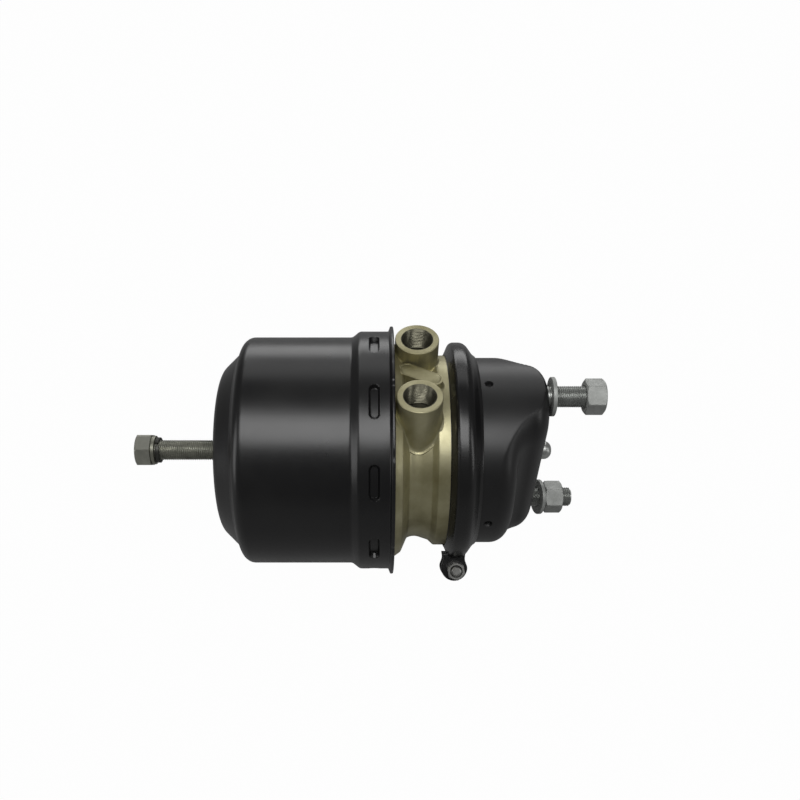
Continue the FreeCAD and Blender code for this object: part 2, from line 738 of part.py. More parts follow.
def service_housing():
    """Pressed shell with a raised oblong plateau, two stud holes, the rod's hole and four drains."""
    lip_right = "right_inner - clamp_gap + right_slope * (clamp_crown_radius - {})"
    lip = turned_body("service_lip", [
        ("housing_seat", "mouth_radius"),
        ("housing_seat", "lip_radius"),
        (lip_right.format("lip_radius"), "lip_radius"),
        (lip_right.format("service_radius"), "service_radius"),
        (lip_right.format("service_radius"), "service_radius - service_wall"),
        ("housing_seat + mouth_flare", "service_radius - service_wall"),
    ])
    mouth = turned_body("service_mouth", [
        ("housing_seat - cutter_margin", "0"),
        ("housing_seat - cutter_margin", "mouth_radius"),
        ("housing_seat", "mouth_radius"),
        ("housing_seat + mouth_flare", "service_radius - service_wall"),
        ("housing_seat + mouth_flare", "0"),
    ])
    outside = fused("service_outside", service_form("service_outer", "0"), lip)
    tools = [service_form("service_inner", "service_wall"), mouth]
    tools.append(rod("rod_hole", "rod_hole_radius", "-service_wall - cutter_margin",
                     "service_wall + 2 * cutter_margin"))
    for side, sign in (("upper", 1), ("lower", -1)):
        tools.append(rod(f"{side}_stud_hole", "stud_radius + stud_hole_gap", "-service_wall - cutter_margin",
                         "service_wall + 2 * cutter_margin", up=f"{sign} * stud_height"))
    tools.append(rod("drains_upright", "drain_radius", "-service_radius - cutter_margin",
                     "2 * (service_radius + cutter_margin)",
                     along="Z", across="-drain_depth", up="0"))
    tools.append(rod("drains_level", "drain_radius", "-service_radius - cutter_margin",
                     "2 * (service_radius + cutter_margin)",
                     along="Y", across="-drain_depth", up="0"))
    keep(cut("service_shell", outside, *tools), "service_housing")


def mounting_studs():
    """The two studs with their washers and nuts, each nut as far on as it was delivered."""
    for side, sign in (("upper", 1), ("lower", -1)):
        up = f"{sign} * stud_height"
        shank = rod(f"{side}_shank", "stud_radius", "-service_wall - piece_gap",
                    "stud_reach + service_wall + piece_gap", up=up)
        low = "stud_height - stud_head_inboard" if sign > 0 else "-stud_height - stud_head_outboard"
        head = block(f"{side}_stud_head",
                     ("-service_wall - piece_gap - stud_head_thickness", "-stud_head_width / 2", low),
                     ("stud_head_thickness", "stud_head_width", "stud_head_inboard + stud_head_outboard"))
        keep(fused(f"{side}_stud_solid", shank, head), f"{side}_mounting_stud")
        bore = "stud_radius + {}"
        start, depth = f"{side}_washer_station", "washer_thickness"
        disc = rod(f"{side}_washer_disc", "washer_radius", start, depth, up=up)
        hole = rod(f"{side}_washer_hole", bore.format("washer_bore_gap"), f"{start} - cutter_margin",
                   f"{depth} + 2 * cutter_margin", up=up)
        washer = document.addObject("Part::Compound", f"{side}_washer_tilted")
        washer.Links = [cut(f"{side}_washer_cut", disc, hole)]
        middle = FreeCAD.Vector(value(f"{start} + {depth} / 2"), 0, value(up))
        turn = math.radians(value("washer_tilt_axis"))
        hinge = FreeCAD.Vector(0, math.cos(turn), math.sin(turn))
        lean = FreeCAD.Rotation(hinge, value(f"{side}_washer_tilt"))
        washer.Placement = FreeCAD.Placement(middle - lean.multVec(middle), lean)
        keep(washer, f"{side}_stud_washer")
        start, depth = f"{side}_nut_station", "nut_height"
        prism = hex_prism(f"{side}_nut_hex", "nut_flats", start, depth, up, value("nut_turn"))
        hole = rod(f"{side}_nut_hole", bore.format("bolt_fit"), f"{start} - cutter_margin",
                   f"{depth} + 2 * cutter_margin", up=up)
        keep(cut(f"{side}_nut_cut", chamfered(f"{side}_nut", prism, "nut_flats", start, depth, up), hole),
             f"{side}_stud_nut")


def chamfered(name, prism, flats, start, length, up="0"):
    """Return a hexagon whose corners are turned off at 30 degrees at both ends."""
    corner = f"({flats}) / 2 / cos(30)"
    face = f"({flats}) / 2 * {CHAMFER_FACE}"
    depth = f"({corner} - {face}) * {CHAMFER_SLOPE:.6f}"
    turned = turned_body(f"{name}_turned", [
        (start, "0"),
        (start, face),
        (f"{start} + {depth}", corner),
        (f"{start} + {length} - {depth}", corner),
        (f"{start} + {length}", face),
        (f"{start} + {length}", "0"),
    ])
    drive(turned, Placement__Base__z=up)
    return shared(f"{name}_chamfered", prism, turned)


def clamp_ring():
    """Split V-section ring over both lips, with two ears drawn together by a bolt and nut."""
    inner_crown = "clamp_crown_radius - clamp_sheet"
    ring = turned_body("clamp_section", [
        ("crown_left - clamp_left_spread", "clamp_left_foot"),
        ("crown_left", "clamp_crown_radius", "clamp_left_bend"),
        ("crown_right", "clamp_crown_radius", "clamp_right_bend"),
        ("crown_right + clamp_right_spread", "clamp_right_foot"),
        ("crown_right + clamp_right_spread - clamp_right_leg", "clamp_right_foot"),
        ("right_inner + right_slope * clamp_sheet", inner_crown),
        ("left_inner - left_slope * clamp_sheet", inner_crown),
        ("crown_left - clamp_left_spread + clamp_left_leg", "clamp_left_foot"),
    ])
    middle = "(crown_left + crown_right) / 2"
    left = f"{middle} + ear_offset - ear_width / 2"
    ears = []
    for side, start in (("near", "-ear_gap / 2 - ear_thickness"), ("far", "ear_gap / 2")):
        ears.append(block(f"{side}_ear", (left, start, "-ear_lobe_radius"),
                          ("ear_width", "ear_thickness", "ear_lobe_radius - ear_root_radius")))
        ears.append(rod(f"{side}_lobe", "ear_width / 2", start, "ear_thickness", along="Y",
                        across=f"{middle} + ear_offset", up="-ear_lobe_radius"))
    split = block("clamp_split",
                  (f"{middle} - 2 * ear_width", "-ear_gap / 2", "-ear_lobe_radius - ear_width"),
                  ("4 * ear_width", "ear_gap", "ear_lobe_radius"))
    span = "ear_gap + 2 * ear_thickness"
    height = "-clamp_bolt_station"
    hole = rod("clamp_bolt_hole", "clamp_bolt_radius + clamp_bolt_gap", f"-({span}) / 2 - cutter_margin",
               f"{span} + 2 * cutter_margin",
               along="Y", across=middle, up=height)
    band = cut("clamp_band", fused("clamp_with_ears", ring, *ears), split, hole)
    keep(turned_to_ears(band), "clamp_ring")
    shank = rod("clamp_bolt_shank", "clamp_bolt_radius",
                f"-({span}) / 2 - piece_gap - clamp_nut_height - clamp_bolt_overrun",
                f"{span} + 2 * piece_gap + clamp_nut_height + clamp_bolt_overrun",
                along="Y", across=middle, up=height)
    head = side_hexagon("clamp_bolt_hex", f"({span}) / 2 + piece_gap", "clamp_bolt_head", middle, height)
    keep(turned_to_ears(fused("clamp_bolt_solid", shank, head)), "clamp_bolt")
    start = f"-({span}) / 2 - piece_gap - clamp_nut_height"
    nut = side_hexagon("clamp_nut_hex", start, "clamp_nut_height", middle, height)
    bore = rod("clamp_nut_bore", "clamp_bolt_radius + bolt_fit", f"{start} - cutter_margin",
               "clamp_nut_height + 2 * cutter_margin",
               along="Y", across=middle, up=height)
    keep(turned_to_ears(cut("clamp_nut_cut", nut, bore)), "clamp_nut")


def side_hexagon(name, start, length, station, height):
    """Return a hexagonal prism along Y, with the size of the clamp bolt's head."""
    prism = add("Part::Prism", name, Circumradius="clamp_bolt_flats / 2 / cos(30)", Height=length)
    prism.Polygon = 6
    prism.Placement.Rotation = FreeCAD.Rotation(FreeCAD.Vector(1, 0, 0), -90)
    for letter, text in zip("xyz", (station, start, height)):
        prism.setExpression(f"Placement.Base.{letter}", bound(text))
    return prism


def turned_to_ears(piece):
    """Turn a piece of the clamp about the chamber's axis, from straight down to where the ears are."""
    piece.Placement.Rotation = FreeCAD.Rotation(FreeCAD.Vector(1, 0, 0), value("ear_angle"))
    piece.setExpression("Placement.Rotation.Angle", bound("ear_angle"))
    return piece


def diaphragm():
    """Rubber diaphragm in its rest shape, laid in the bowl, with its bead between the two lips."""
    shift = "diaphragm_seat_gap"
    keep(turned_body("diaphragm_rubber", [
        ("flange_seat", "bead_radius"),
        ("housing_seat", "bead_radius"),
        ("housing_seat", "mouth_radius - piece_gap", "bowl_edge_round"),
        ("diaphragm_face + diaphragm_wall", "bowl_floor_radius - piece_gap", "bowl_round - bowl_edge_round"),
        ("diaphragm_face + diaphragm_wall", "0"),
        ("diaphragm_face", "0"),
        ("diaphragm_face", "bowl_floor_radius - piece_gap", "bowl_round"),
        (f"flange_seat - bowl_mouth_depth + {shift}", "bowl_mouth_radius - piece_gap", "bowl_edge_round"),
        ("flange_seat", "mouth_radius - piece_gap"),
    ]), "diaphragm")


def parking_piston():
    """Cupped piston with its seal and guide ring, and the push tube with a closed end."""
    rim = "barrel_bore - piston_gap"
    back = "piston_face - piston_skirt - piston_disc"
    grooves = []
    for index in (1, 0):
        left = f"{back} + seal_inset + {index} * seal_spacing"
        right = f"{left} + seal_width"
        grooves += [(right, rim), (right, f"{rim} - seal_depth"), (left, f"{rim} - seal_depth"), (left, rim)]
    keep(turned_body("piston_cup", [
        ("piston_face", "tube_radius + tube_fit"),
        ("piston_face", rim),
        *grooves,
        (back, rim),
        (back, f"{rim} - piston_wall"),
        ("piston_back - piston_chamfer", f"{rim} - piston_wall"),
        ("piston_back", f"{rim} - piston_wall - piston_chamfer"),
        ("piston_back", "piston_hub_radius"),
        ("hub_back", "piston_hub_radius"),
        ("hub_back", "bolt_radius + bolt_fit"),
        ("tube_start", "bolt_radius + bolt_fit"),
        ("tube_start", "tube_radius + tube_fit"),
    ]), "parking_piston")
    for index, label in ((0, "piston_guide_ring"), (1, "piston_seal")):
        left = f"{back} + seal_inset + {index} * seal_spacing + seal_side_gap"
        right = f"{left} + seal_width - 2 * seal_side_gap"
        keep(turned_body(f"{label}_body", ring_outline(
            left, right, f"{rim} - seal_depth + seal_fit", "barrel_bore - seal_fit")), label)
    tube = ring_outline("tube_start", "tube_end", "tube_bore", "tube_radius")
    keep(turned_body("push_tube_body", tube), "push_tube")
    keep(turned_body("push_tube_cap", [
        ("tube_end - tube_plug_length", "0"),
        ("tube_end - tube_plug_length", "tube_bore - tube_fit"),
        ("tube_end + tube_fit", "tube_bore - tube_fit"),
        ("tube_end + tube_fit", "tube_radius - piece_gap"),
        ("tube_end + tube_end_pad", "tube_radius - piece_gap"),
        ("tube_end + tube_end_pad", "0"),
    ]), "push_tube_end_pad")


def hub_rings():
    """The guide bush in the flange's hub, with a seal on each side of it."""
    left, right = "hub_station + hub_lip + piece_gap", "bowl_station - hub_lip - piece_gap"
    inner, outer = "tube_radius + tube_fit", "seal_bore - tube_fit"
    bush = ring_outline(f"{left} + tube_seal_width + piece_gap", f"{right} - tube_seal_width - piece_gap",
                        inner, outer)
    keep(turned_body("hub_bush", bush), "tube_guide_bush")
    first = turned_body("hub_seal_parking", ring_outline(left, f"{left} + tube_seal_width", inner, outer))
    second = turned_body("hub_seal_service", ring_outline(f"{right} - tube_seal_width", right, inner, outer))
    grouped("tube_seals", first, second)


def flange_ring():
    """Rubber ring in the spigot's groove, against the skirt."""
    centre = "skirt_bore - seal_fit - ring_wire / 2"
    section = bar_section("ring_groove_station", centre, "ring_wire")
    keep(turned_body("flange_ring_body", section), "flange_sealing_ring")


def release_parts():
    """Release bolt with its washers and catch, the nut fixed in the dome and the ring in its hole."""
    start, height = "bolt_seat - bolt_head_height", "bolt_head_height"
    head = hex_prism("release_head", "bolt_head_flats", start, height, turn=value("bolt_head_turn"))
    head = chamfered("release_head", head, "bolt_head_flats", start, height)
    stem = turned_body("release_stem", [
        ("bolt_seat - bolt_head_height / 2", "0"),
        ("bolt_seat - bolt_head_height / 2", "bolt_radius"),
        ("bolt_end", "bolt_radius"),
        ("bolt_end", "0"),
    ])
    keep(fused("release_solid", head, stem), "release_bolt")
    bore = "bolt_radius + bolt_fit"
    start = "bolt_seat + piece_gap / 2"
    keep(turned_body("release_flat_washer", ring_outline(
        start, f"{start} + flat_washer_thickness", bore, "flat_washer_radius")), "release_bolt_washer")
    start = "bolt_washer_face - spring_washer_thickness"
    keep(turned_body("release_split_washer", ring_outline(
        start, "bolt_washer_face", bore, "spring_washer_radius")), "release_bolt_spring_washer")
    keep(turned_body("release_catch", ring_outline(
        "catch_station", "catch_station + catch_length", bore, "catch_radius")), "release_bolt_catch")
    start = "dome_inside + piece_gap / 2"
    nut = hex_prism("release_nut_hex", "release_nut_flats", start, "release_nut_height")
    hole = rod("release_nut_hole", bore, f"{start} - cutter_margin",
               "release_nut_height + 2 * cutter_margin")
    keep(cut("release_nut_cut", nut, hole), "release_nut")
    keep(turned_body("release_dust_ring_body", [
        ("recess_station - piece_gap / 2 - dust_ring_flange", bore),
        ("dome_inside - piece_gap / 2", bore),
        ("dome_inside - piece_gap / 2", "bolt_hole_radius - seal_fit"),
        ("recess_station - piece_gap / 2", "bolt_hole_radius - seal_fit"),
        ("recess_station - piece_gap / 2", "dust_ring_radius"),
        ("recess_station - piece_gap / 2 - dust_ring_flange", "dust_ring_radius"),
    ]), "release_dust_ring")


def bar_section(station, radius, thickness):
    """Return an eight-sided section round a point, as the outline of a round bar."""
    full = f"{thickness} / 2"
    flat = f"{thickness} / 2 * {OCTAGON_SHARE:.4f}"
    corners = ((full, flat), (flat, full), (f"-{flat}", full), (f"-{full}", flat),
               (f"-{full}", f"-{flat}"), (f"-{flat}", f"-{full}"), (flat, f"-{full}"), (full, f"-{flat}"))
    return [(f"{station} + {across}", f"{radius} + {along}") for across, along in corners]


def conical_spring(label, left, right, left_radius, right_radius, wire, turns):
    """Return a conical coil between the stations of its two end turns, as one swept bar."""
    body = document.addObject("PartDesign::Body", f"{label}_body")
    sketch = new_sketch(body, f"{label}_section")
    draw_outline(sketch, bar_section(left, left_radius, wire))
    document.recompute()
    coil = body.newObject("PartDesign::AdditiveHelix", f"{label}_coil")
    coil.Profile = sketch
    coil.ReferenceAxis = (sketch, ["H_Axis"])
    coil.Mode = 3
    growth = f"({right_radius} - {left_radius}) / {turns}"
    drive(coil, Height=f"{right} - ({left})", Turns=turns, Growth=growth)
    document.recompute()
    keep(body, label)


def push_rod():
    """Push rod with its plate against the diaphragm, and the boot that closes the rod's hole."""
    hub = "plate_front + plate_hub_length"
    keep(turned_body("plate_disc", [
        ("plate_station", "0"),
        ("plate_station", "plate_radius - plate_edge"),
        ("plate_station + plate_edge", "plate_radius"),
        ("plate_front", "plate_radius"),
        ("plate_front", "plate_hub_radius"),
        (hub, "plate_hub_radius"),
        (hub, "rod_radius + tube_fit"),
        ("plate_front", "rod_radius + tube_fit"),
        ("plate_front", "0"),
    ]), "push_plate")
    keep(turned_body("rod_bar", [
        ("plate_front + tube_fit", "0"),
        ("plate_front + tube_fit", "rod_radius"),
        ("rod_neck_station", "rod_radius"),
        ("rod_neck_station + rod_radius - rod_tip_radius", "rod_tip_radius"),
        ("rod_tip_station", "rod_tip_radius", "rod_tip_radius - 0.05"),
        ("rod_tip_station", "0"),
    ]), "push_rod")
    keep(turned_body("boot_bellows", boot_outline()), "rod_boot")
    ring = "boot_ring_radius"
    keep(turned_body("boot_ring_body", ring_outline(
        "-service_wall", "-piece_gap", ring, "rod_hole_radius - seal_fit")), "boot_retaining_ring")


def boot_outline():
    """Return the outline of the bellows: a cuff on the rod, its folds, and a flange inside the housing."""
    folds = 2 * int(value("boot_folds"))
    right = "-service_wall - piece_gap"
    left = f"{right} - boot_length"
    inner, outer = [], []
    for index in range(folds + 1):
        radius = "boot_valley" if index % 2 == 0 else "boot_crest"
        station = f"{left} + boot_cuff + {index} * (boot_length - 2 * boot_cuff) / {folds}"
        inner.append((station, f"{radius} - boot_skin"))
        outer.append((station, radius))
    cuff = [(left, "rod_radius + tube_fit"), *inner]
    flange = [
        (right, "boot_valley - boot_skin"),
        (right, "rod_hole_radius"),
        (f"{right} - boot_flange", "rod_hole_radius"),
        (f"{right} - boot_flange", "boot_valley"),
    ]
    return [*cuff, *flange, *reversed(outer), (left, "boot_valley")]


def springs():
    """Power spring nested in the dome, and the return spring round the boot."""
    conical_spring("power_spring", "crest_station + sheet_wall + power_dome_gap + power_wire / 2 + coil_gap",
                   "piston_back - power_wire / 2 - coil_gap", "power_small_radius", "power_big_radius",
                   "power_wire", "power_turns")
    conical_spring("return_spring", "plate_front + return_wire / 2 + coil_gap",
                   "-service_wall - return_wire / 2 - return_seat_gap", "return_big_radius", "return_small_radius",
                   "return_wire", "return_turns")


def check_and_write():
    """Stop on any failed object or bad shape, then write each sub-part to its own file."""
    document.recompute()
    failed = [item.Name for item in document.Objects if {"Invalid", "Error"} & set(item.State)]
    if failed:
        raise RuntimeError(f"these objects failed: {failed}")
    for piece in sub_parts:
        if piece.Shape.isNull() or not piece.Shape.isValid() or not piece.Shape.Solids:
            raise RuntimeError(f"{piece.Label} has no valid solid")
    os.makedirs(OUTPUT_FOLDER, exist_ok=True)
    for piece in sub_parts:
        piece.Shape.exportStep(os.path.join(OUTPUT_FOLDER, f"{piece.Label}.step"))
        box = piece.Shape.BoundBox
        print(f"{piece.Label}: {len(piece.Shape.Solids)} solids, {piece.Shape.Volume:.0f} mm3, "
              f"X {box.XMin:.1f} to {box.XMax:.1f}")


fill_sheet()
spring_housing()
centre_flange()
service_housing()
mounting_studs()
clamp_ring()
diaphragm()
parking_piston()
hub_rings()
flange_ring()
release_parts()
push_rod()
springs()
check_and_write()
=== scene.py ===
"""Studio scene of a combined spring and service air brake chamber for a disc brake.

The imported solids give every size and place.  Sizes written here are millimetres, apart from the
studio's and the materials', which are metres, and meshes are scaled to metres when they are made.
X runs along the chamber's axis towards the brake, and angles about it are counted from -Y towards +Z.
"""

from __future__ import annotations

import logging
import math
from dataclasses import dataclass, field
from enum import Enum
from typing import Callable, Sequence

import bmesh
import bpy
import numpy as np
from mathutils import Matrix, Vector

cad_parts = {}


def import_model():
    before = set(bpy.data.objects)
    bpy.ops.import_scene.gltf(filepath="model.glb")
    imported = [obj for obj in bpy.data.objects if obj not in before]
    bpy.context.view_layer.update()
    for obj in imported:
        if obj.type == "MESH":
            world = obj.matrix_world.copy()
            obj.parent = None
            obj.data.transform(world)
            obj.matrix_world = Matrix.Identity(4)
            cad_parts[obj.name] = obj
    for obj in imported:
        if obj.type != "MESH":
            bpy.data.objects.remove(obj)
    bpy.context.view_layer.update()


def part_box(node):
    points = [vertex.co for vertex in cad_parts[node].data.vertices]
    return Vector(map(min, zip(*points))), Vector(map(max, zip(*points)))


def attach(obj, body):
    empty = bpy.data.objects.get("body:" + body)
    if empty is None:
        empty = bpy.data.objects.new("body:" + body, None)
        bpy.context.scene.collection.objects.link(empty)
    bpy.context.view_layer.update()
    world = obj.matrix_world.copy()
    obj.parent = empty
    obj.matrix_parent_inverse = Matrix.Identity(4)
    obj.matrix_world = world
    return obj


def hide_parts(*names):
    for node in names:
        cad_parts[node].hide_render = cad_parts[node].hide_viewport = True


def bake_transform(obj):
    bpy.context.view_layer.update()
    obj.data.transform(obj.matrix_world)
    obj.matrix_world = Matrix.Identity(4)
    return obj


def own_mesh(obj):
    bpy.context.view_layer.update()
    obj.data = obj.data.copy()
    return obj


LOG = logging.getLogger("brake_chamber")
MM = 0.001
FULL_TURN = 2.0 * math.pi
Corner = tuple[float, ...]
Displacement = Callable[[np.ndarray, np.ndarray, np.ndarray], np.ndarray]

# A hexagon's chamfer starts at this share of half the flats, and falls this much per unit of radius.
FACE_SHARE = 0.97
CHAMFER_SLOPE = 0.577

# Directions across the axis: towards the viewer, up the picture, and down it, where the ring is split.
SPLIT_ANGLE = math.radians(41.5)
NEAR = (0.0, -math.sin(SPLIT_ANGLE), math.cos(SPLIT_ANGLE))
RISING = (0.0, math.cos(SPLIT_ANGLE), math.sin(SPLIT_ANGLE))
FALLING = (0.0, -math.cos(SPLIT_ANGLE), -math.sin(SPLIT_ANGLE))


class Body(Enum):
    """The bodies that a piece can ride on."""

    CHAMBER = "chamber"
    PISTON = "piston_and_tube"
    RELEASE_BOLT = "release_bolt"
    PUSH_ROD = "push_rod"


@dataclass(frozen=True)
class Frame:
    """Where a turned piece stands: its origin, its axis and the two directions across it."""

    origin: tuple[float, float, float] = (0.0, 0.0, 0.0)
    axis: tuple[float, float, float] = (1.0, 0.0, 0.0)
    first: tuple[float, float, float] = (0.0, 1.0, 0.0)
    second: tuple[float, float, float] = (0.0, 0.0, 1.0)

    def place(self, stations: np.ndarray, across: np.ndarray, up: np.ndarray) -> np.ndarray:
        """Return origin + station * axis + across * first + up * second, for whole arrays.

        Args:
            stations: Distances along the axis.
            across: Distances along the first direction.
            up: Distances along the second direction.

        Returns:
            The points, one for each set of distances.
        """
        parts = ((stations, self.axis), (across, self.first), (up, self.second))
        moved = sum(amount[..., None] * np.array(direction) for amount, direction in parts)
        return moved + np.array(self.origin)


def along_x(across: float = 0.0, up: float = 0.0) -> Frame:
    """Return a frame along X through a Y and Z."""
    return Frame((0.0, across, up))


def along_z(station: float, across: float) -> Frame:
    """Return an upright frame through an X and Y."""
    return Frame((station, across, 0.0), (0.0, 0.0, 1.0), (1.0, 0.0, 0.0), (0.0, 1.0, 0.0))


def smoothstep(low: float, high: float, values: np.ndarray) -> np.ndarray:
    """Return the smooth 0 to 1 ramp 3t^2 - 2t^3 of values between low and high."""
    t = np.clip((values - low) / (high - low), 0.0, 1.0)
    return t * t * (3.0 - 2.0 * t)


def rounded_path(corners: Sequence[Corner], step: float = 0.5, longest: float = 400.0) -> np.ndarray:
    """Round the corners of a path and divide it into short runs.

    A corner (x, r, radius) becomes an arc of that radius tangent to both sides: the arc starts at
    radius / tan(half angle) from the corner and its centre lies on the bisector.

    Args:
        corners: Points (x, r) or (x, r, radius), in order, as an open path.
        step: Longest run along an arc.
        longest: Longest run along a straight stretch.

    Returns:
        The points of the path, one row each.
    """
    points = np.array([corner[:2] for corner in corners], float)
    path = [points[:1]]
    for index in range(1, len(points) - 1):
        radius = corners[index][2] if len(corners[index]) > 2 else 0.0
        here = points[index]
        if radius <= 0.0:
            path.append(here[None])
            continue
        back = (points[index - 1] - here) / np.linalg.norm(points[index - 1] - here)
        onward = (points[index + 1] - here) / np.linalg.norm(points[index + 1] - here)
        half = math.acos(float(np.clip(back @ onward, -1.0, 1.0))) / 2.0
        bisector = (back + onward) / np.linalg.norm(back + onward)
        centre = here + bisector * radius / math.sin(half)
        sweep = math.pi - 2.0 * half
        count = max(3, int(math.ceil(radius * sweep / step)))
        start = here + back * radius / math.tan(half) - centre
        side = np.sign(back[0] * onward[1] - back[1] * onward[0])
        angles = -side * np.linspace(0.0, sweep, count + 1)
        cosines, sines = np.cos(angles), np.sin(angles)
        turned = [start[0] * cosines - start[1] * sines, start[0] * sines + start[1] * cosines]
        path.append(centre + np.stack(turned, axis=1))
    path.append(points[-1:])
    joined = np.concatenate(path)
    gaps = np.linalg.norm(np.diff(joined, axis=0), axis=1)
    joined = joined[np.concatenate([[True], gaps > 1e-6])]
    gaps = np.linalg.norm(np.diff(joined, axis=0), axis=1)
    lengths = np.concatenate([[0.0], np.cumsum(gaps)])
    counts = np.maximum(1, np.ceil(gaps / longest).astype(int))
    stations = np.concatenate(
        [np.linspace(lengths[i], lengths[i + 1], counts[i], endpoint=False) for i in range(len(gaps))]
        + [lengths[-1:]])
    return np.stack([np.interp(stations, lengths, joined[:, axis]) for axis in (0, 1)], axis=1)


def signed_volume(vertices: np.ndarray, quads: np.ndarray) -> float:
    """Return the volume that faces enclose, negative where they point inwards.

    Each quad a, b, c, d adds a sixth of a . (b x c) + a . (c x d).

    Args:
        vertices: Points, one row each.
        quads: Faces, as four point numbers each.

    Returns:
        The volume, in the points' unit cubed.
    """
    a, b, c, d = (vertices[quads[:, i]] for i in range(4))
    first = np.einsum("ij,ij->i", a, np.cross(b, c))
    second = np.einsum("ij,ij->i", a, np.cross(c, d))
    return float((first + second).sum() / 6.0)


@dataclass
class Surface:
    """A grid of points, in millimetres, that becomes a mesh object."""

    name: str
    points: np.ndarray
    wrap_rows: bool = False
    wrap_columns: bool = True
    capped: bool = False

    def faces(self) -> np.ndarray:
        """Return the quads between neighbouring rows and columns of the grid.

        Returns:
            Faces, as four point numbers each.
        """
        rows, columns = self.points.shape[:2]
        index = np.arange(rows * columns).reshape(rows, columns)
        below = np.roll(index, -1, axis=0) if self.wrap_rows else index[1:]
        above = index if self.wrap_rows else index[:-1]
        if self.wrap_columns:
            next_above, next_below = np.roll(above, -1, axis=1), np.roll(below, -1, axis=1)
        else:
            next_above, next_below = above[:, 1:], below[:, 1:]
            above, below = above[:, :-1], below[:, :-1]
        return np.stack([above, below, next_below, next_above], axis=-1).reshape(-1, 4)

    def build(self, sharp_degrees: float = 35.0) -> bpy.types.Object:
        """Make the mesh object, with faces outwards, doubles merged and edges sharp past an angle.

        Args:
            sharp_degrees: Angle between faces past which an edge stays sharp.

        Returns:
            The object, at the origin.
        """
        vertices = self.points.reshape(-1, 3) * MM
        quads = self.faces()
        if signed_volume(vertices, quads) < 0.0:
            quads = quads[:, ::-1]
        faces = quads.tolist()
        if self.capped:
            rows, columns = self.points.shape[:2]
            first = (np.arange(rows) * columns).tolist()
            faces += [first, [index + columns - 1 for index in reversed(first)]]
        mesh = bpy.data.meshes.new(self.name)
        mesh.from_pydata(vertices.tolist(), [], faces)
        merge_doubles(mesh)
        mesh.polygons.foreach_set("use_smooth", np.ones(len(mesh.polygons), bool))
        mesh.set_sharp_from_angle(angle=math.radians(sharp_degrees))
        piece = bpy.data.objects.new(self.name, mesh)
        bpy.context.scene.collection.objects.link(piece)
        return piece


def merge_doubles(mesh: bpy.types.Mesh) -> None:
    """Merge points that coincide, which closes poles and seams.

    Args:
        mesh: Mesh to mend in place.
    """
    work = bmesh.new()
    work.from_mesh(mesh)
    bmesh.ops.remove_doubles(work, verts=work.verts, dist=1e-7)
    bmesh.ops.dissolve_degenerate(work, edges=work.edges, dist=1e-8)
    if any(len(face.verts) > 4 for face in work.faces):
        bmesh.ops.recalc_face_normals(work, faces=work.faces)
    work.to_mesh(mesh)
    work.free()
    mesh.update()


@dataclass
class Turning:
    """A surface turned about an axis from a path of (station, radius), with optional displacements.

    A closed path has its ends joined.  A split surface stops short of a full turn and has both its
    ends capped.  displace gives new radii and shift gives new stations.
    """

    name: str
    path: np.ndarray
    segments: int = 128
    frame: Frame = Frame()
    closed: bool = True
    displace: Displacement | None = None
    shift: Displacement | None = None
    angles: np.ndarray | None = None
    split: bool = False

    def surface(self) -> Surface:
        """Return the turned grid: point = (station, -r cos a, r sin a) in the frame.

        Returns:
            The grid, with a row for each point of the path and a column for each angle.
        """
        angles = self.angles
        if angles is None:
            angles = np.linspace(0.0, FULL_TURN, self.segments, endpoint=False)
        stations = np.repeat(self.path[:, :1], len(angles), axis=1)
        radii = np.repeat(self.path[:, 1:], len(angles), axis=1)
        spread = np.repeat(angles[None], len(self.path), axis=0)
        moved = stations if self.shift is None else self.shift(stations, spread, radii)
        if self.displace is not None:
            radii = self.displace(stations, spread, radii)
        points = self.frame.place(moved, -radii * np.cos(spread), radii * np.sin(spread))
        return Surface(self.name, points, wrap_rows=self.closed, wrap_columns=not self.split,
                       capped=self.split)

    def build(self, sharp_degrees: float = 35.0) -> bpy.types.Object:
        """Turn the surface and make its mesh object."""
        return self.surface().build(sharp_degrees)


def thread(pitch: float, depth: float, first: float, last: float, runout: float = 1.2,
           inside: bool = False) -> Displacement:
    """Return a displacement that cuts a 60 degree thread between two stations.

    The groove at station x and angle a is depth times a flattened triangle wave of x / pitch -
    a / full turn, faded over the run-out at each end and towards the axis.  An inside thread is
    cut outwards.

    Args:
        pitch: Advance per turn.
        depth: Depth of the groove.
        first: Station where the thread starts.
        last: Station where it ends.
        runout: Length over which the groove fades at each end.
        inside: Whether the thread is cut into a bore.

    Returns:
        A function of stations, angles and radii that gives the new radii.
    """
    def cut(stations: np.ndarray, angles: np.ndarray, radii: np.ndarray) -> np.ndarray:
        """Cut the groove.

        Args:
            stations: Station of each point.
            angles: Angle of each point.
            radii: Radius of each point.

        Returns:
            The new radii.
        """
        phase = np.mod(stations / pitch - angles / FULL_TURN, 1.0)
        wave = np.clip(1.25 * (1.0 - np.abs(2.0 * phase - 1.0)) - 0.125, 0.0, 1.0)
        fade = smoothstep(first, first + runout, stations) * (1.0 - smoothstep(last - runout, last, stations))
        groove = depth * wave * fade * smoothstep(2.0 * depth, 6.0 * depth, radii)
        return radii + (groove if inside else -groove)
    return cut


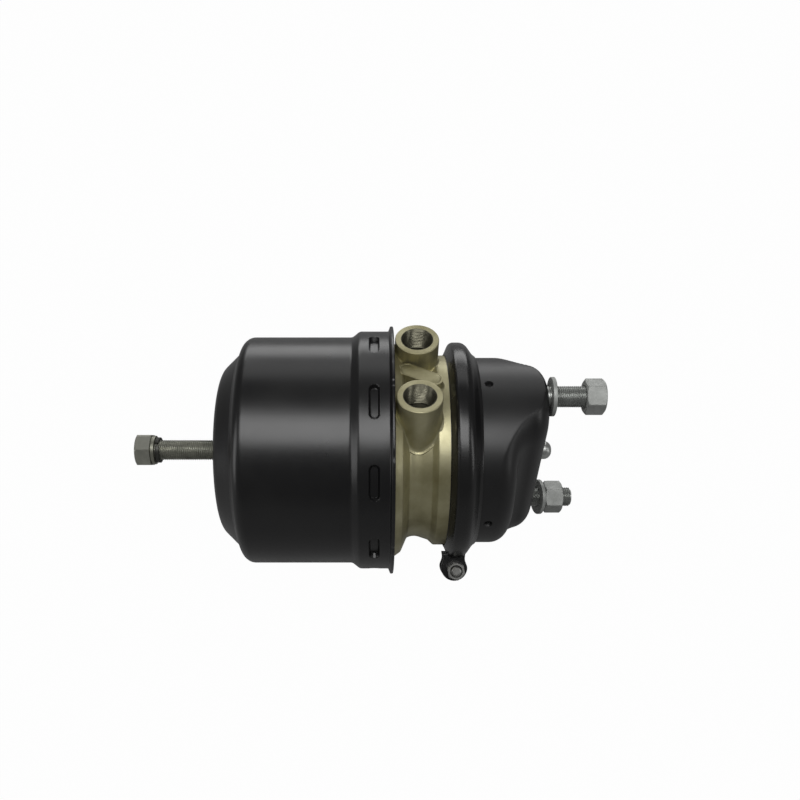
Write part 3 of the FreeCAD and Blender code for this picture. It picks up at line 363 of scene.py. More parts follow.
def hexagon(flats: float, first: float, last: float, turn: float = 0.0,
            ends: tuple[bool, bool] = (True, True)) -> Displacement:
    """Return a displacement that trims radii to a hexagon with corners chamfered at its ends.

    A point at angle a is at most flats / 2 / cos(a folded to 30 degrees) from the axis, and at
    most the chamfer cone's radius, which grows from a share of half the flats at an end face.

    Args:
        flats: Distance across the flats.
        first: Station of one end face.
        last: Station of the other end face.
        turn: Angle by which the hexagon is turned.
        ends: Whether the corners are chamfered at the first and at the last end.

    Returns:
        A function of stations, angles and radii that gives the new radii.
    """
    half = flats / 2.0

    def trim(stations: np.ndarray, angles: np.ndarray, radii: np.ndarray) -> np.ndarray:
        """Trim the radii to the hexagon and to its chamfers.

        Args:
            stations: Station of each point.
            angles: Angle of each point.
            radii: Radius of each point.

        Returns:
            The new radii.
        """
        folded = np.mod(angles + turn, math.pi / 3.0) - math.pi / 6.0
        limit = half / np.cos(folded)
        if ends[0]:
            limit = np.minimum(limit, FACE_SHARE * half + (stations - first) / CHAMFER_SLOPE)
        if ends[1]:
            limit = np.minimum(limit, FACE_SHARE * half + (last - stations) / CHAMFER_SLOPE)
        return np.minimum(radii, limit)
    return trim


class Wire:
    """A socket of a node tree that can be used in Python arithmetic."""

    def __init__(self, tree: "Graph", socket: bpy.types.NodeSocket) -> None:
        """Keep the socket and the tree that it belongs to."""
        self.tree = tree
        self.socket = socket

    def _maths(self, operation: str, other: "Wire | float") -> "Wire":
        """Add one Math node on this value and another."""
        return self.tree.node("ShaderNodeMath", {"operation": operation}, {0: self, 1: other})

    def __add__(self, other: "Wire | float") -> "Wire":
        """Return the sum."""
        return self._maths("ADD", other)

    def __mul__(self, other: "Wire | float") -> "Wire":
        """Return the product."""
        return self._maths("MULTIPLY", other)

    __radd__ = __add__
    __rmul__ = __mul__


class Graph:
    """The node tree of one material."""

    def __init__(self, name: str) -> None:
        """Make a material with an empty tree and its output.

        Args:
            name: Name of the material.
        """
        self.material = bpy.data.materials.new(name)
        self.material.use_nodes = True
        self.tree = self.material.node_tree
        self.tree.nodes.clear()
        self.output = self.tree.nodes.new("ShaderNodeOutputMaterial")

    def node(self, kind: str, settings: dict, sockets: dict, output: int | str = 0) -> Wire:
        """Add a node with its settings first and then its sockets' values or links.

        Args:
            kind: The node's type.
            settings: Properties by name, set before the sockets.
            sockets: Values or wires by socket name or number.
            output: Name or number of the output to return.

        Returns:
            The chosen output.
        """
        made = self.tree.nodes.new(kind)
        for key, item in settings.items():
            setattr(made, key, item)
        for key, item in sockets.items():
            if isinstance(item, Wire):
                self.tree.links.new(item.socket, made.inputs[key])
            else:
                made.inputs[key].default_value = item
        return Wire(self, made.outputs[output])

    def place(self, scale: Sequence[float]) -> Wire:
        """Return the object coordinates, scaled along each axis."""
        coordinates = self.node("ShaderNodeTexCoord", {}, {}, "Object")
        return self.node("ShaderNodeMapping", {}, {"Vector": coordinates, "Scale": tuple(scale)})

    def noise(self, scale: float, detail: float = 3.0, stretch: Sequence[float] = (1.0, 1.0, 1.0),
              roughness: float = 0.55) -> Wire:
        """Return a noise factor, whose scale is counted per metre."""
        sockets = {"Vector": self.place(stretch), "Scale": scale, "Detail": detail, "Roughness": roughness}
        return self.node("ShaderNodeTexNoise", {}, sockets, "Fac")

    def ramp(self, factor: Wire, low: float, high: float) -> Wire:
        """Return a factor stretched so that low becomes 0 and high becomes 1."""
        sockets = {"Value": factor, "From Min": low, "From Max": high}
        return self.node("ShaderNodeMapRange", {"clamp": True}, sockets)

    def mix(self, factor: Wire | float, first: object, second: object) -> Wire:
        """Return a colour between two colours."""
        sockets = {"Factor": factor, 6: first, 7: second}
        return self.node("ShaderNodeMix", {"data_type": "RGBA"}, sockets, 2)

    def bump(self, height: Wire, distance: float, strength: float) -> Wire:
        """Return a normal bent by a height, whose full range is a distance in metres."""
        sockets = {"Height": height, "Distance": distance, "Strength": strength}
        return self.node("ShaderNodeBump", {}, sockets)

    def finish(self, sockets: dict) -> bpy.types.Material:
        """Close the tree with a principled surface and return the material.

        Args:
            sockets: Values or wires by socket name.

        Returns:
            The material.
        """
        surface = self.node("ShaderNodeBsdfPrincipled", {}, sockets)
        self.tree.links.new(surface.socket, self.output.inputs["Surface"])
        return self.material


Colour = tuple[float, float, float, float]


def shade(red: float, green: float, blue: float) -> Colour:
    """Return a linear colour from the 0 to 255 values of a screen colour.

    Args:
        red: Red, from 0 to 255.
        green: Green, from 0 to 255.
        blue: Blue, from 0 to 255.

    Returns:
        The colour, fully opaque.
    """
    def linear(value: float) -> float:
        """Return one linear part, by the screen's standard curve."""
        part = value / 255.0
        return part / 12.92 if part <= 0.04045 else ((part + 0.055) / 1.055) ** 2.4
    return (linear(red), linear(green), linear(blue), 1.0)


@dataclass(frozen=True)
class BlackPaint:
    """Satin black paint over pressed steel, with a fine orange-peel surface and faint dulling."""

    name: str = "black_paint"
    base: Colour = shade(15, 15, 16)
    dull: Colour = shade(21, 21, 21)
    roughness: float = 0.26

    def material(self) -> bpy.types.Material:
        """Return the material: colour and roughness vary over centimetres, the peel over a millimetre.

        Returns:
            The material.
        """
        graph = Graph(self.name)
        patches = graph.ramp(graph.noise(22.0), 0.35, 0.75)
        peel = graph.noise(900.0, 2.0)
        return graph.finish({
            "Base Color": graph.mix(patches, self.base, self.dull),
            "Roughness": patches * 0.06 + self.roughness + graph.noise(300.0) * 0.04,
            "Specular IOR Level": 0.5,
            "Normal": graph.bump(peel, 0.00002, 0.25),
        })


@dataclass(frozen=True)
class CastFinish:
    """Sand-grained cast aluminium with a yellow chromate, browner where the film is thick."""

    light: Colour = shade(180, 175, 142)
    deep: Colour = shade(134, 128, 95)
    grain: float = 0.00009

    def material(self) -> bpy.types.Material:
        """Return the material: film patches over centimetres, casting grain under a millimetre.

        Returns:
            The material.
        """
        graph = Graph("chromated_casting")
        film = graph.ramp(graph.noise(35.0, 4.0), 0.3, 0.72)
        grain = graph.noise(1500.0, 4.0)
        return graph.finish({
            "Base Color": graph.mix(film, self.light, self.deep),
            "Metallic": 0.7,
            "Roughness": film * 0.08 + 0.38,
            "Normal": graph.bump(grain, self.grain, 0.5),
        })


@dataclass(frozen=True)
class MetalFinish:
    """Plated or machined metal with fine turning marks or a sprayed grain."""

    name: str
    light: Colour
    dark: Colour
    metallic: float = 0.9
    roughness: float = 0.35
    grain: float = 0.00003
    stretch: tuple[float, float, float] = (1.0, 1.0, 1.0)

    def material(self) -> bpy.types.Material:
        """Return the material: tone varies over millimetres and a fine grain breaks up the gloss.

        Returns:
            The material.
        """
        graph = Graph(self.name)
        tone = graph.ramp(graph.noise(120.0, 4.0, self.stretch), 0.3, 0.75)
        grain = graph.noise(2200.0, 3.0, self.stretch)
        return graph.finish({
            "Base Color": graph.mix(tone, self.light, self.dark),
            "Metallic": self.metallic,
            "Roughness": tone * 0.1 + self.roughness,
            "Normal": graph.bump(grain, self.grain, 0.6),
        })


@dataclass(frozen=True)
class MouldedFinish:
    """Moulded rubber or plastic with a soft uneven sheen."""

    name: str
    base: Colour
    worn: Colour
    roughness: float = 0.55

    def material(self) -> bpy.types.Material:
        """Return the material: a faint mottle over millimetres and a matt skin.

        Returns:
            The material.
        """
        graph = Graph(self.name)
        mottle = graph.ramp(graph.noise(160.0, 4.0), 0.35, 0.75)
        return graph.finish({
            "Base Color": graph.mix(mottle, self.base, self.worn),
            "Roughness": mottle * 0.12 + self.roughness,
            "Normal": graph.bump(graph.noise(1800.0), 0.00004, 0.5),
        })


@dataclass
class Finishes:
    """Every material of the chamber, made once."""

    paint: bpy.types.Material = field(default_factory=lambda: BlackPaint().material())
    drum: bpy.types.Material = field(default_factory=lambda: BlackPaint(
        "black_paint_drum", shade(15, 15, 16), shade(21, 21, 21), 0.36).material())
    clamp: bpy.types.Material = field(default_factory=lambda: BlackPaint(
        "black_paint_clamp", shade(13, 13, 14), shade(18, 18, 18), 0.22).material())
    casting: bpy.types.Material = field(default_factory=lambda: CastFinish().material())
    # Machined aluminium, its colour darkened below the casting's: painted shade inside the threaded port
    # bores.
    machined: bpy.types.Material = field(default_factory=lambda: MetalFinish(
        "machined_aluminium_painted_shade", shade(106, 104, 90), shade(82, 80, 68), 0.9, 0.26, 0.00001).material())
    flaked: bpy.types.Material = field(default_factory=lambda: MetalFinish(
        "flaked_zinc", shade(170, 172, 169), shade(148, 150, 147), 0.55, 0.5, 0.00006).material())
    stud: bpy.types.Material = field(default_factory=lambda: MetalFinish(
        "flaked_zinc_thread", shade(172, 174, 171), shade(140, 142, 139), 0.8, 0.32, 0.00001).material())
    zinc: bpy.types.Material = field(default_factory=lambda: MetalFinish(
        "bright_zinc", shade(150, 150, 147), shade(112, 112, 109), 0.9, 0.34).material())
    rod: bpy.types.Material = field(default_factory=lambda: MetalFinish(
        "rod_steel", shade(200, 202, 199), shade(170, 172, 169), 0.85, 0.32).material())
    olive: bpy.types.Material = field(default_factory=lambda: MetalFinish(
        "olive_zinc", shade(168, 168, 158), shade(136, 137, 128), 0.8, 0.34, 0.00001).material())
    washer: bpy.types.Material = field(default_factory=lambda: MetalFinish(
        "olive_zinc_washer", shade(146, 146, 134), shade(116, 116, 105), 0.75, 0.36).material())
    split: bpy.types.Material = field(default_factory=lambda: MetalFinish(
        "dark_split_washer", shade(70, 70, 66), shade(50, 50, 47), 0.7, 0.4).material())
    steel: bpy.types.Material = field(default_factory=lambda: MetalFinish(
        "dark_steel", shade(84, 84, 82), shade(58, 58, 57), 0.8, 0.42).material())
    cast: bpy.types.Material = field(default_factory=lambda: MetalFinish(
        "cast_piston", shade(196, 196, 192), shade(170, 170, 166), 0.8, 0.45).material())
    rubber: bpy.types.Material = field(default_factory=lambda: MouldedFinish(
        "rubber", shade(34, 34, 34), shade(48, 48, 47)).material())
    plastic: bpy.types.Material = field(default_factory=lambda: MouldedFinish(
        "pale_plastic", shade(222, 220, 208), shade(206, 203, 190), 0.42).material())


def dress(piece: bpy.types.Object, material: bpy.types.Material) -> None:
    """Give a piece one material in its only slot."""
    piece.data.materials.clear()
    piece.data.materials.append(material)


def seat(piece: bpy.types.Object, body: Body, slot: str, material: bpy.types.Material, *nodes: str) -> None:
    """Dress a new piece, let it ride on its body, hide the solids that it stands for and report it.

    Args:
        piece: The new piece.
        body: Body that it moves with.
        slot: Not used.
        material: Its material.
        nodes: Solids that it stands for, if any.
    """
    dress(piece, material)
    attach(piece, body.value)
    if nodes:
        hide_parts(*nodes)
    LOG.info("%s rides on %s", piece.name, body.value)


def seat_between(piece: bpy.types.Object, bodies: tuple[Body, Body],
                 material: bpy.types.Material, node: str) -> None:
    """Dress a soft piece, let it stretch between two bodies and report it.

    Args:
        piece: The new piece.
        bodies: Bodies at its start and its end, named in the report.
        material: Its material.
        node: Solid that it stands for.
    """
    dress(piece, material)
    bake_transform(piece)
    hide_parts(node)
    LOG.info("%s stretches from %s to %s", piece.name, bodies[0].value, bodies[1].value)


def extent(node: str) -> tuple[np.ndarray, np.ndarray]:
    """Return the lowest and highest corners of a solid, in millimetres."""
    low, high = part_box(node)
    return np.array(low) / MM, np.array(high) / MM


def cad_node(name: str) -> bpy.types.Object:
    """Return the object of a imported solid."""
    return bpy.data.objects[name]


def closed_ring(first: float, last: float, bore: float, outer: float, rounding: float) -> np.ndarray:
    """Return the closed section of a ring, rounded at its outer edges."""
    corners = [(first, bore), (first, outer, rounding), (last, outer, rounding), (last, bore)]
    return rounded_path(corners, step=0.15)


def hexagon_nut(name: str, first: float, last: float, flats: float, bore: float, pitch: float, frame: Frame,
                turn: float) -> bpy.types.Object:
    """Return a nut: an outer skin trimmed to a hexagon, chamfered mouths and a threaded bore.

    Args:
        name: Name of the piece.
        first: Station of one end face.
        last: Station of the other end face.
        flats: Distance across the flats.
        bore: Radius of the bore.
        pitch: Advance of the thread per turn.
        frame: Where the nut stands.
        turn: Angle by which the hexagon is turned.

    Returns:
        The nut's object.
    """
    corner = flats / 2.0 / math.cos(math.pi / 6.0)
    chamfer, depth = 0.9, 0.7
    mouth = bore + chamfer
    outer = [(first, mouth), (first, corner), (last, corner), (last, mouth)]
    inner = [(last - chamfer, bore), (first + chamfer, bore)]
    path = rounded_path([*outer, *inner, (first, mouth)], longest=0.4)[:-1]
    trim = hexagon(flats, first, last, turn=turn)
    cut = thread(pitch, depth, first, last, 0.8, inside=True)

    def shape(stations: np.ndarray, angles: np.ndarray, radii: np.ndarray) -> np.ndarray:
        """Trim the outside and thread the bore."""
        threaded = cut(stations, angles, radii)
        return np.where(radii < bore + 0.05, threaded, trim(stations, angles, radii))

    return Turning(name, path, 144, frame, displace=shape).build(22.0)


def stadium_distance(across: np.ndarray, along: np.ndarray, half_length: float, radius: float) -> np.ndarray:
    """Return the distance to a long hole's edge, negative inside: hypot(over, across) - radius."""
    over = np.maximum(np.abs(along) - (half_length - radius), 0.0)
    return np.hypot(over, across) - radius


@dataclass
class SpringHousing:
    """The pressed shell of the parking side: skirt with pressed slots, barrel, stepped dome and recess."""

    finishes: Finishes
    wall: float = 2.8
    slot_station: float = -129.8
    slot_half_length: float = 13.2
    slot_radius: float = 3.8
    slot_depth: float = 3.5
    slot_inside: float = 2.2
    slot_count: int = 10
    slot_turn: float = math.radians(-2.0)
    slot_edge: tuple[float, float] = (-1.15, 0.25)
    slot_reach: tuple[float, float] = (-139.0, -119.0)
    skirt: float = 94.3
    rim: float = 98.3
    barrel: float = 89.7
    bolt_hole: float = 9.6
    dent: float = 0.7

    def section(self) -> np.ndarray:
        """Return the closed section: the outer skin from the rim to the hole, and the inner skin back.

        Returns:
            The points of the section, one row each.
        """
        skirt, rim, barrel, hole = self.skirt, self.rim, self.barrel, self.bolt_hole
        under_skirt, under_barrel = skirt - self.wall, barrel - self.wall
        rows = [(station, skirt) for station in np.arange(-125.0, -134.9, -0.45)]
        outer = [
            (-115.0, 91.6), (-115.0, rim, 0.95), (-117.2, rim, 1.0), (-118.7, skirt, 0.9), *rows,
            (-141.0, skirt, 4.5), (-146.8, barrel, 4.5), (-229.1, barrel, 9.3), (-233.9, 77.7, 2.8),
            (-247.6, 64.4, 12.8), (-254.0, 24.4, 4.0), (-236.2, 18.5, 3.2), (-236.2, hole)]
        inside = [(station, under_skirt) for station in np.arange(-134.9, -124.9, 0.9)]
        inner = [
            (-233.4, hole), (-233.4, 21.3, 5.9), (-251.2, 27.0, 1.2), (-245.0, 62.6, 10.0),
            (-231.3, 75.6, 5.4), (-226.9, under_barrel, 6.5), (-146.1, under_barrel, 4.5),
            (-140.3, under_skirt, 2.0), *inside, (-115.0, 91.6)]
        return np.concatenate([rounded_path(outer, 0.9, 9.0), rounded_path(inner, 2.0, 30.0)[:-1]])

    def angles(self) -> np.ndarray:
        """Return the columns, close together at the round ends of the slots.

        Returns:
            The angle of each column.
        """
        share = FULL_TURN / self.slot_count
        fine = math.radians(0.36)
        low, high = math.radians(5.2), math.radians(9.2)
        ends = np.arange(low, high, fine)
        middle = np.linspace(-low, low, 9)[1:-1]
        between = np.linspace(high, share - high, 12)
        one = np.concatenate([-ends[::-1], middle, ends, between[:-1]])
        return np.concatenate([self.slot_turn + index * share + one for index in range(self.slot_count)])

    def press(self, stations: np.ndarray, angles: np.ndarray, radii: np.ndarray) -> np.ndarray:
        """Press the slots and dent the rolled rim.

        A slot's depth is full inside its long hole and rises to nothing over 1.4 mm at its edge; the
        rim loses up to 0.7 mm where three sine waves of the angle add up.

        Args:
            stations: Station of each point.
            angles: Angle of each point.
            radii: Radius of each point.

        Returns:
            The new radii.
        """
        share = FULL_TURN / self.slot_count
        folded = np.mod(angles - self.slot_turn + share / 2.0, share) - share / 2.0
        distance = stadium_distance(stations - self.slot_station, folded * self.skirt,
                                    self.slot_half_length, self.slot_radius)
        deepest = np.where(radii < self.skirt - 1.0, self.slot_inside, self.slot_depth)
        depth = deepest * (1.0 - smoothstep(*self.slot_edge, distance))
        low, high = self.slot_reach
        on_skirt = (stations > low) & (stations < high) & (radii > 91.0)
        waves = np.sin(9.0 * angles + 1.0) + np.sin(23.0 * angles + 2.0) + np.sin(57.0 * angles)
        dents = self.dent * smoothstep(1.1, 2.0, waves) * (radii > 96.0)
        return radii - np.where(on_skirt, depth, 0.0) - dents

    def build(self) -> None:
        """Build the shell."""
        shell = Turning("spring_housing_shell", self.section(), displace=self.press, angles=self.angles())
        seat(shell.build(40.0), Body.CHAMBER, "black_paint", self.finishes.paint, "spring_housing")


@dataclass
class CentreFlange:
    """The cast flange between both housings, with its two ports and the pad that joins them."""

    finishes: Finishes
    port_station: float = -97.8
    port_offset: float = 30.0
    port_top: float = 91.0
    boss: float = 16.5
    bore: float = 10.25
    bore_depth: float = 18.0
    bore_pitch: float = 1.5
    bore_thread: float = 0.75
    mouth: float = 1.6
    hollow_radius: float = 9.5
    hollow_height: float = 56.0
    fillet: float = 2.4
    fillet_sink: float = 0.08
    pad_top: float = 82.0
    pad_half_length: float = 17.5
    pad_radius: float = 6.2
    pad_turn: float = math.radians(-28.0)

    def section(self) -> tuple[np.ndarray, np.ndarray]:
        """Return the outer run of the casting that shows, and its closed section.

        Returns:
            The outer run and the whole section, with a row for each point.
        """
        shown = rounded_path([
            (-115.0, 85.0), (-115.0, 85.3), (-109.2, 81.2, 3.0), (-104.3, 70.0, 3.0),
            (-98.5, 68.0, 12.0), (-87.5, 71.6, 3.0), (-83.3, 75.5, 1.5), (-73.4, 75.5)], 0.5, 3.0)
        rest = rounded_path([
            (-73.4, 75.5), (-70.4, 82.5), (-67.0, 82.5), (-67.0, 74.5), (-70.0, 71.5, 1.0),
            (-94.0, 50.0, 7.0), (-94.0, 16.4), (-96.0, 16.4), (-96.0, 18.6), (-128.0, 18.6),
            (-128.0, 16.4), (-130.0, 16.4),
            (-130.0, 25.0, 1.5), (-112.0, 27.5, 3.0), (-112.0, 78.0, 4.0), (-139.0, 84.0),
            (-139.0, 91.2), (-135.2, 91.2), (-134.4, 87.4), (-125.2, 87.4), (-124.4, 91.2),
            (-115.0, 91.2), (-115.0, 85.0)], 1.5, 12.0)
        return shown, np.concatenate([shown, rest[1:-1]])

    def pierce(self, stations: np.ndarray, angles: np.ndarray, radii: np.ndarray) -> np.ndarray:
        """Sink the skin under each port's hole, near its axis, to a fixed height.

        A point sinks where hypot(x - port x, y - port y) is under the hollow's radius and it stands
        above the hollow's height h; its radius becomes h / sin(angle).

        Args:
            stations: Station of each point.
            angles: Angle of each point.
            radii: Radius of each point.

        Returns:
            The new radii.
        """
        under = np.zeros(radii.shape, bool)
        for across in (-self.port_offset, self.port_offset):
            away = np.hypot(stations - self.port_station, -radii * np.cos(angles) - across)
            under |= away < self.hollow_radius
        above = radii * np.sin(angles) > self.hollow_height
        sunk = self.hollow_height / np.maximum(np.sin(angles), 0.5)
        return np.where(under & above, sunk, radii)

    def foot_growth(self, shown: np.ndarray, station: np.ndarray, across: np.ndarray,
                    height: np.ndarray) -> np.ndarray:
        """Return how far a boss grows at its foot, a concave quarter circle above the turned surface.

        Args:
            shown: The outer run of the casting.
            station: X of each point.
            across: Y of each point.
            height: Z of each point.

        Returns:
            How far each point moves outwards.
        """
        order = np.argsort(shown[:, 0])
        surface = np.interp(station, shown[order, 0], shown[order, 1])
        over = (np.hypot(across, height) - surface) / self.fillet + self.fillet_sink
        above = np.clip(over, 0.0, 1.0)
        return self.fillet * (1.0 - np.sqrt(1.0 - (1.0 - above) ** 2))

    def port(self, shown: np.ndarray, side: int) -> None:
        """Build one boss with a chamfered and threaded bore, whose foot runs into the casting.

        Args:
            shown: The outer run of the casting.
            side: -1 for the port nearer to -Y, 1 for the other.
        """
        across = side * self.port_offset
        top, mouth = self.port_top, self.mouth
        end = top - self.bore_depth
        skin = rounded_path([
            (50.0, 0.0), (50.0, self.boss), (top, self.boss, 0.7), (top, self.bore + mouth),
            (top - mouth, self.bore)], 0.3, 0.3)
        bore = rounded_path([(top - mouth - 0.1, self.bore), (end, self.bore)], longest=0.19)
        floor = rounded_path([(end - 0.8, 7.4), (end - 2.2, 7.0), (58.0, 7.0), (58.0, 0.0)], longest=2.0)
        path = np.concatenate([skin, bore, floor])
        cut = thread(self.bore_pitch, self.bore_thread, end, top + 0.6, inside=True)

        def shape(heights: np.ndarray, angles: np.ndarray, radii: np.ndarray) -> np.ndarray:
            """Thread the bore and let the foot grow.

            Args:
                heights: Height of each point.
                angles: Angle of each point.
                radii: Radius of each point.

            Returns:
                The new radii.
            """
            station = self.port_station - radii * np.cos(angles)
            place = across + radii * np.sin(angles)
            grown = radii + self.foot_growth(shown, station, place, heights)
            bored = np.abs(radii - self.bore) < 0.05
            threaded = np.where(bored, cut(heights, angles, radii), radii)
            return np.where(radii > self.boss - 0.05, grown, threaded)

        name = f"port_boss_{'a' if side < 0 else 'b'}"
        frame = along_z(self.port_station, across)
        piece = Turning(name, path, 160, frame, closed=False, displace=shape).build(30.0)
        seat(piece, Body.CHAMBER, "chromated_aluminium", self.finishes.casting)
        self.machine(piece, across)

    def machine(self, piece: bpy.types.Object, across: float) -> None:
        """Give the faces of a bore, nearer to its axis than its mouth's edge, the machined finish, whose
        darkened colour is painted shade inside the bore.

        Args:
            piece: The boss.
            across: Y of the bore's axis.
        """
        polygons = piece.data.polygons
        centres = np.zeros(len(polygons) * 3)
        polygons.foreach_get("center", centres)
        centres = centres.reshape(-1, 3) / MM
        away = np.hypot(centres[:, 0] - self.port_station, centres[:, 1] - across)
        piece.data.materials.append(self.finishes.machined)
        floor = self.port_top - self.bore_depth - 1.0
        bored = (away < self.bore + self.mouth + 0.3) & (centres[:, 2] > floor)
        polygons.foreach_set("material_index", bored.astype(np.int32))

    def pad(self, shown: np.ndarray) -> None:
        """Build the slanting pad between the ports: a stadium whose edge distance comes from its ray.

        Args:
            shown: The outer run of the casting.
        """
        half_length, radius, turn = self.pad_half_length, self.pad_radius, self.pad_turn
        station, across = self.port_station + 2.0, 2.0
        top = self.pad_top
        path = rounded_path([
            (60.0, 0.0), (60.0, 1.0), (top, 1.0, 0.09), (top, 0.93), (top - 0.3, 0.9), (top, 0.87),
            (top, 0.0)], 0.05, 0.3)

        def shape(heights: np.ndarray, angles: np.ndarray, radii: np.ndarray) -> np.ndarray:
            """Carry the unit radius out to the stadium's edge and let the foot grow.

            Args:
                heights: Height of each point.
                angles: Angle of each point.
                radii: Share of the way out to the edge, from 0 to 1.

            Returns:
                Distance of each point from the pad's middle.
            """
            east = -np.cos(angles)
            north = np.sin(angles)
            along = np.abs(east * math.cos(turn) + north * math.sin(turn))
            aside = np.abs(-east * math.sin(turn) + north * math.cos(turn))
            straight = half_length - radius
            side = radius / np.maximum(aside, 1e-6)
            root = np.sqrt(np.maximum(radius ** 2 - (straight * aside) ** 2, 0.0))
            edge = np.where(side * along <= straight, side, straight * along + root)
            reach = radii * edge
            growth = self.foot_growth(shown, station + reach * east, across + reach * north, heights)
            return reach + np.where(radii > 0.98, growth, 0.0)

        piece = Turning("port_pad", path, 200, along_z(station, across), closed=False, displace=shape)
        seat(piece.build(40.0), Body.CHAMBER, "chromated_aluminium", self.finishes.casting)

    def build(self) -> None:
        """Build the turned casting, both ports and the pad."""
        shown, section = self.section()
        turned = Turning("centre_flange_casting", section, 256, displace=self.pierce)
        seat(turned.build(30.0), Body.CHAMBER, "chromated_aluminium", self.finishes.casting, "centre_flange")
        for side in (-1, 1):
            self.port(shown, side)
        self.pad(shown)


@dataclass
class ServiceHousing:
    """The pressed shell of the service side: a drum whose front rises into an oblong plateau."""

    finishes: Finishes
    radius: float = 73.6
    shoulder: float = -25.0
    shoulder_round: float = 14.0
    half_length: float = 76.0
    half_width: float = 31.0
    corner: float = 30.9
    edge_round: float = 12.0
    taper: float = math.radians(17.0)
    blend: float = 14.0
    wall: float = 3.5
    centre: float = -40.0
    rod_hole: float = 17.5
    drum_end: float = -54.2
    drain_station: float = -45.0
    drain_radius: float = 3.15
    drain_depth: float = 3.0
    drain_spread: float = math.radians(3.6)

    def depth(self, station: np.ndarray, along: np.ndarray, aside: np.ndarray) -> np.ndarray:
        """Return a distance to the outside, negative within.

        Drum: a round-edged cylinder.  Plateau: a round-cornered oblong that widens downwards, with a
        rounded top edge.  They join by the smooth minimum min(a, b) - h^2 k / 4, held within the drum.

        Args:
            station: X of each point.
            along: Its distance along the plateau's length.
            aside: Its distance along the plateau's width.

        Returns:
            The distance, negative within.
        """
        radial = np.hypot(along, aside)
        drum = self.round_edge(radial - self.radius, station - self.shoulder, self.shoulder_round)
        over = np.maximum(np.abs(along) - (self.half_length - self.corner), 0.0)
        over_side = np.maximum(np.abs(aside) - (self.half_width - self.corner), 0.0)
        oblong = np.hypot(over, over_side) - self.corner
        sloped = (oblong + station * math.tan(self.taper)) * math.cos(self.taper)
        plateau = self.round_edge(sloped, station, self.edge_round)
        near = np.maximum(self.blend - np.abs(drum - plateau), 0.0) / self.blend
        joined = np.minimum(drum, plateau) - near ** 2 * self.blend / 4.0
        return np.maximum(joined, np.maximum(radial - self.radius, station))

    @staticmethod
    def round_edge(side: np.ndarray, top: np.ndarray, rounding: float) -> np.ndarray:
        """Return the distance to a corner of two faces, rounded with a radius.

        Args:
            side: Distance from the side face, negative within.
            top: Distance from the top face, negative within.
            rounding: Radius of the edge between them.

        Returns:
            The distance to both faces and their edge, negative within.
        """
        first, second = side + rounding, top + rounding
        outside = np.hypot(np.maximum(first, 0.0), np.maximum(second, 0.0))
        return np.minimum(np.maximum(first, second), 0.0) + outside - rounding

    def reach(self, polar: np.ndarray, angles: np.ndarray) -> np.ndarray:
        """Return the distance from the centre to the skin along each ray, found by halving a span.

        Args:
            polar: Angle of each ray from the axis.
            angles: Angle of each ray about the axis.

        Returns:
            The length of each ray.
        """
        low, high = np.full(polar.shape, 10.0), np.full(polar.shape, 130.0)
        for _ in range(34):
            middle = (low + high) / 2.0
            point = self.point(middle, polar, angles)
            outside = self.depth(point[..., 0], point[..., 2], point[..., 1]) > 0.0
            low, high = np.where(outside, low, middle), np.where(outside, middle, high)
        return (low + high) / 2.0

    def point(self, distance: np.ndarray, polar: np.ndarray, angles: np.ndarray) -> np.ndarray:
        """Return the place of a ray's point, whose polar angle is counted from the axis.

        Args:
            distance: Distance from the centre along each ray.
            polar: Angle of each ray from the axis.
            angles: Angle of each ray about the axis.

        Returns:
            The points, in millimetres.
        """
        radial = distance * np.sin(polar)
        station = self.centre + distance * np.cos(polar)
        return np.stack([station, -radial * np.cos(angles), radial * np.sin(angles)], axis=-1)

    def turned(self, path: Sequence[Corner], angles: np.ndarray) -> np.ndarray:
        """Return rows of a turned path over the same columns."""
        return Turning("rows", rounded_path(path, 0.5, 6.0), angles=angles).surface().points

    def angles(self) -> np.ndarray:
        """Return the columns, close together at the four drains.

        Returns:
            The angle of each column.
        """
        quarter, spread = math.pi / 2.0, self.drain_spread
        fine = np.linspace(-spread, spread, 21)
        coarse = np.linspace(spread, quarter - spread, 54)[1:-1]
        one = np.concatenate([fine, coarse])
        return np.concatenate([index * quarter + one for index in range(4)])

    def build(self) -> None:
        """Build the shell: rod hole, front and drum as rays, lip as turned rows, and the inner skin."""
        angles = self.angles()
        first = math.atan2(self.rod_hole, -self.centre)
        last = math.atan2(self.radius, self.drum_end - self.centre)
        fine_low, fine_high = math.radians(90.8), math.radians(97.0)
        polar = np.concatenate([
            np.linspace(first, fine_low, 96), np.linspace(fine_low, fine_high, 24)[1:],
            np.linspace(fine_high, last, 5)[1:]])
        grid, columns = np.meshgrid(polar, angles, indexing="ij")
        distance = self.reach(grid, columns)
        outer = self.point(distance, grid, columns)
        quarter = math.pi / 2.0
        folded = np.mod(columns + quarter / 2.0, quarter) - quarter / 2.0
        hole = np.hypot(outer[..., 0] - self.drain_station, folded * self.radius)
        edge = smoothstep(self.drain_radius - 0.75, self.drain_radius + 0.1, hole)
        beside = np.abs(outer[..., 0] - self.drain_station) < 6.0
        pit = np.where(beside, self.drain_depth * (1.0 - edge), 0.0)
        outer = self.point(distance - pit, grid, columns)
        inner_grid, inner_columns = np.meshgrid(
            np.linspace(last - 0.02, math.atan2(17.0, -3.5 - self.centre), 50), angles, indexing="ij")
        inner_distance = self.reach(inner_grid, inner_columns) - self.wall
        inner = self.point(inner_distance, inner_grid, inner_columns)
        mouth = self.turned([(-3.4, 17.0), (-0.5, 17.0), (-0.12, 17.15)], angles)
        lip = self.turned([
            (-54.4, self.radius), (-60.8, 82.5), (-63.5, 82.5), (-63.5, 74.5), (-56.0, 70.2)], angles)
        points = np.concatenate([mouth, outer, lip, inner])
        piece = Surface("service_housing_shell", points, wrap_rows=True).build(38.0)
        seat(piece, Body.CHAMBER, "black_paint", self.finishes.drum, "service_housing")


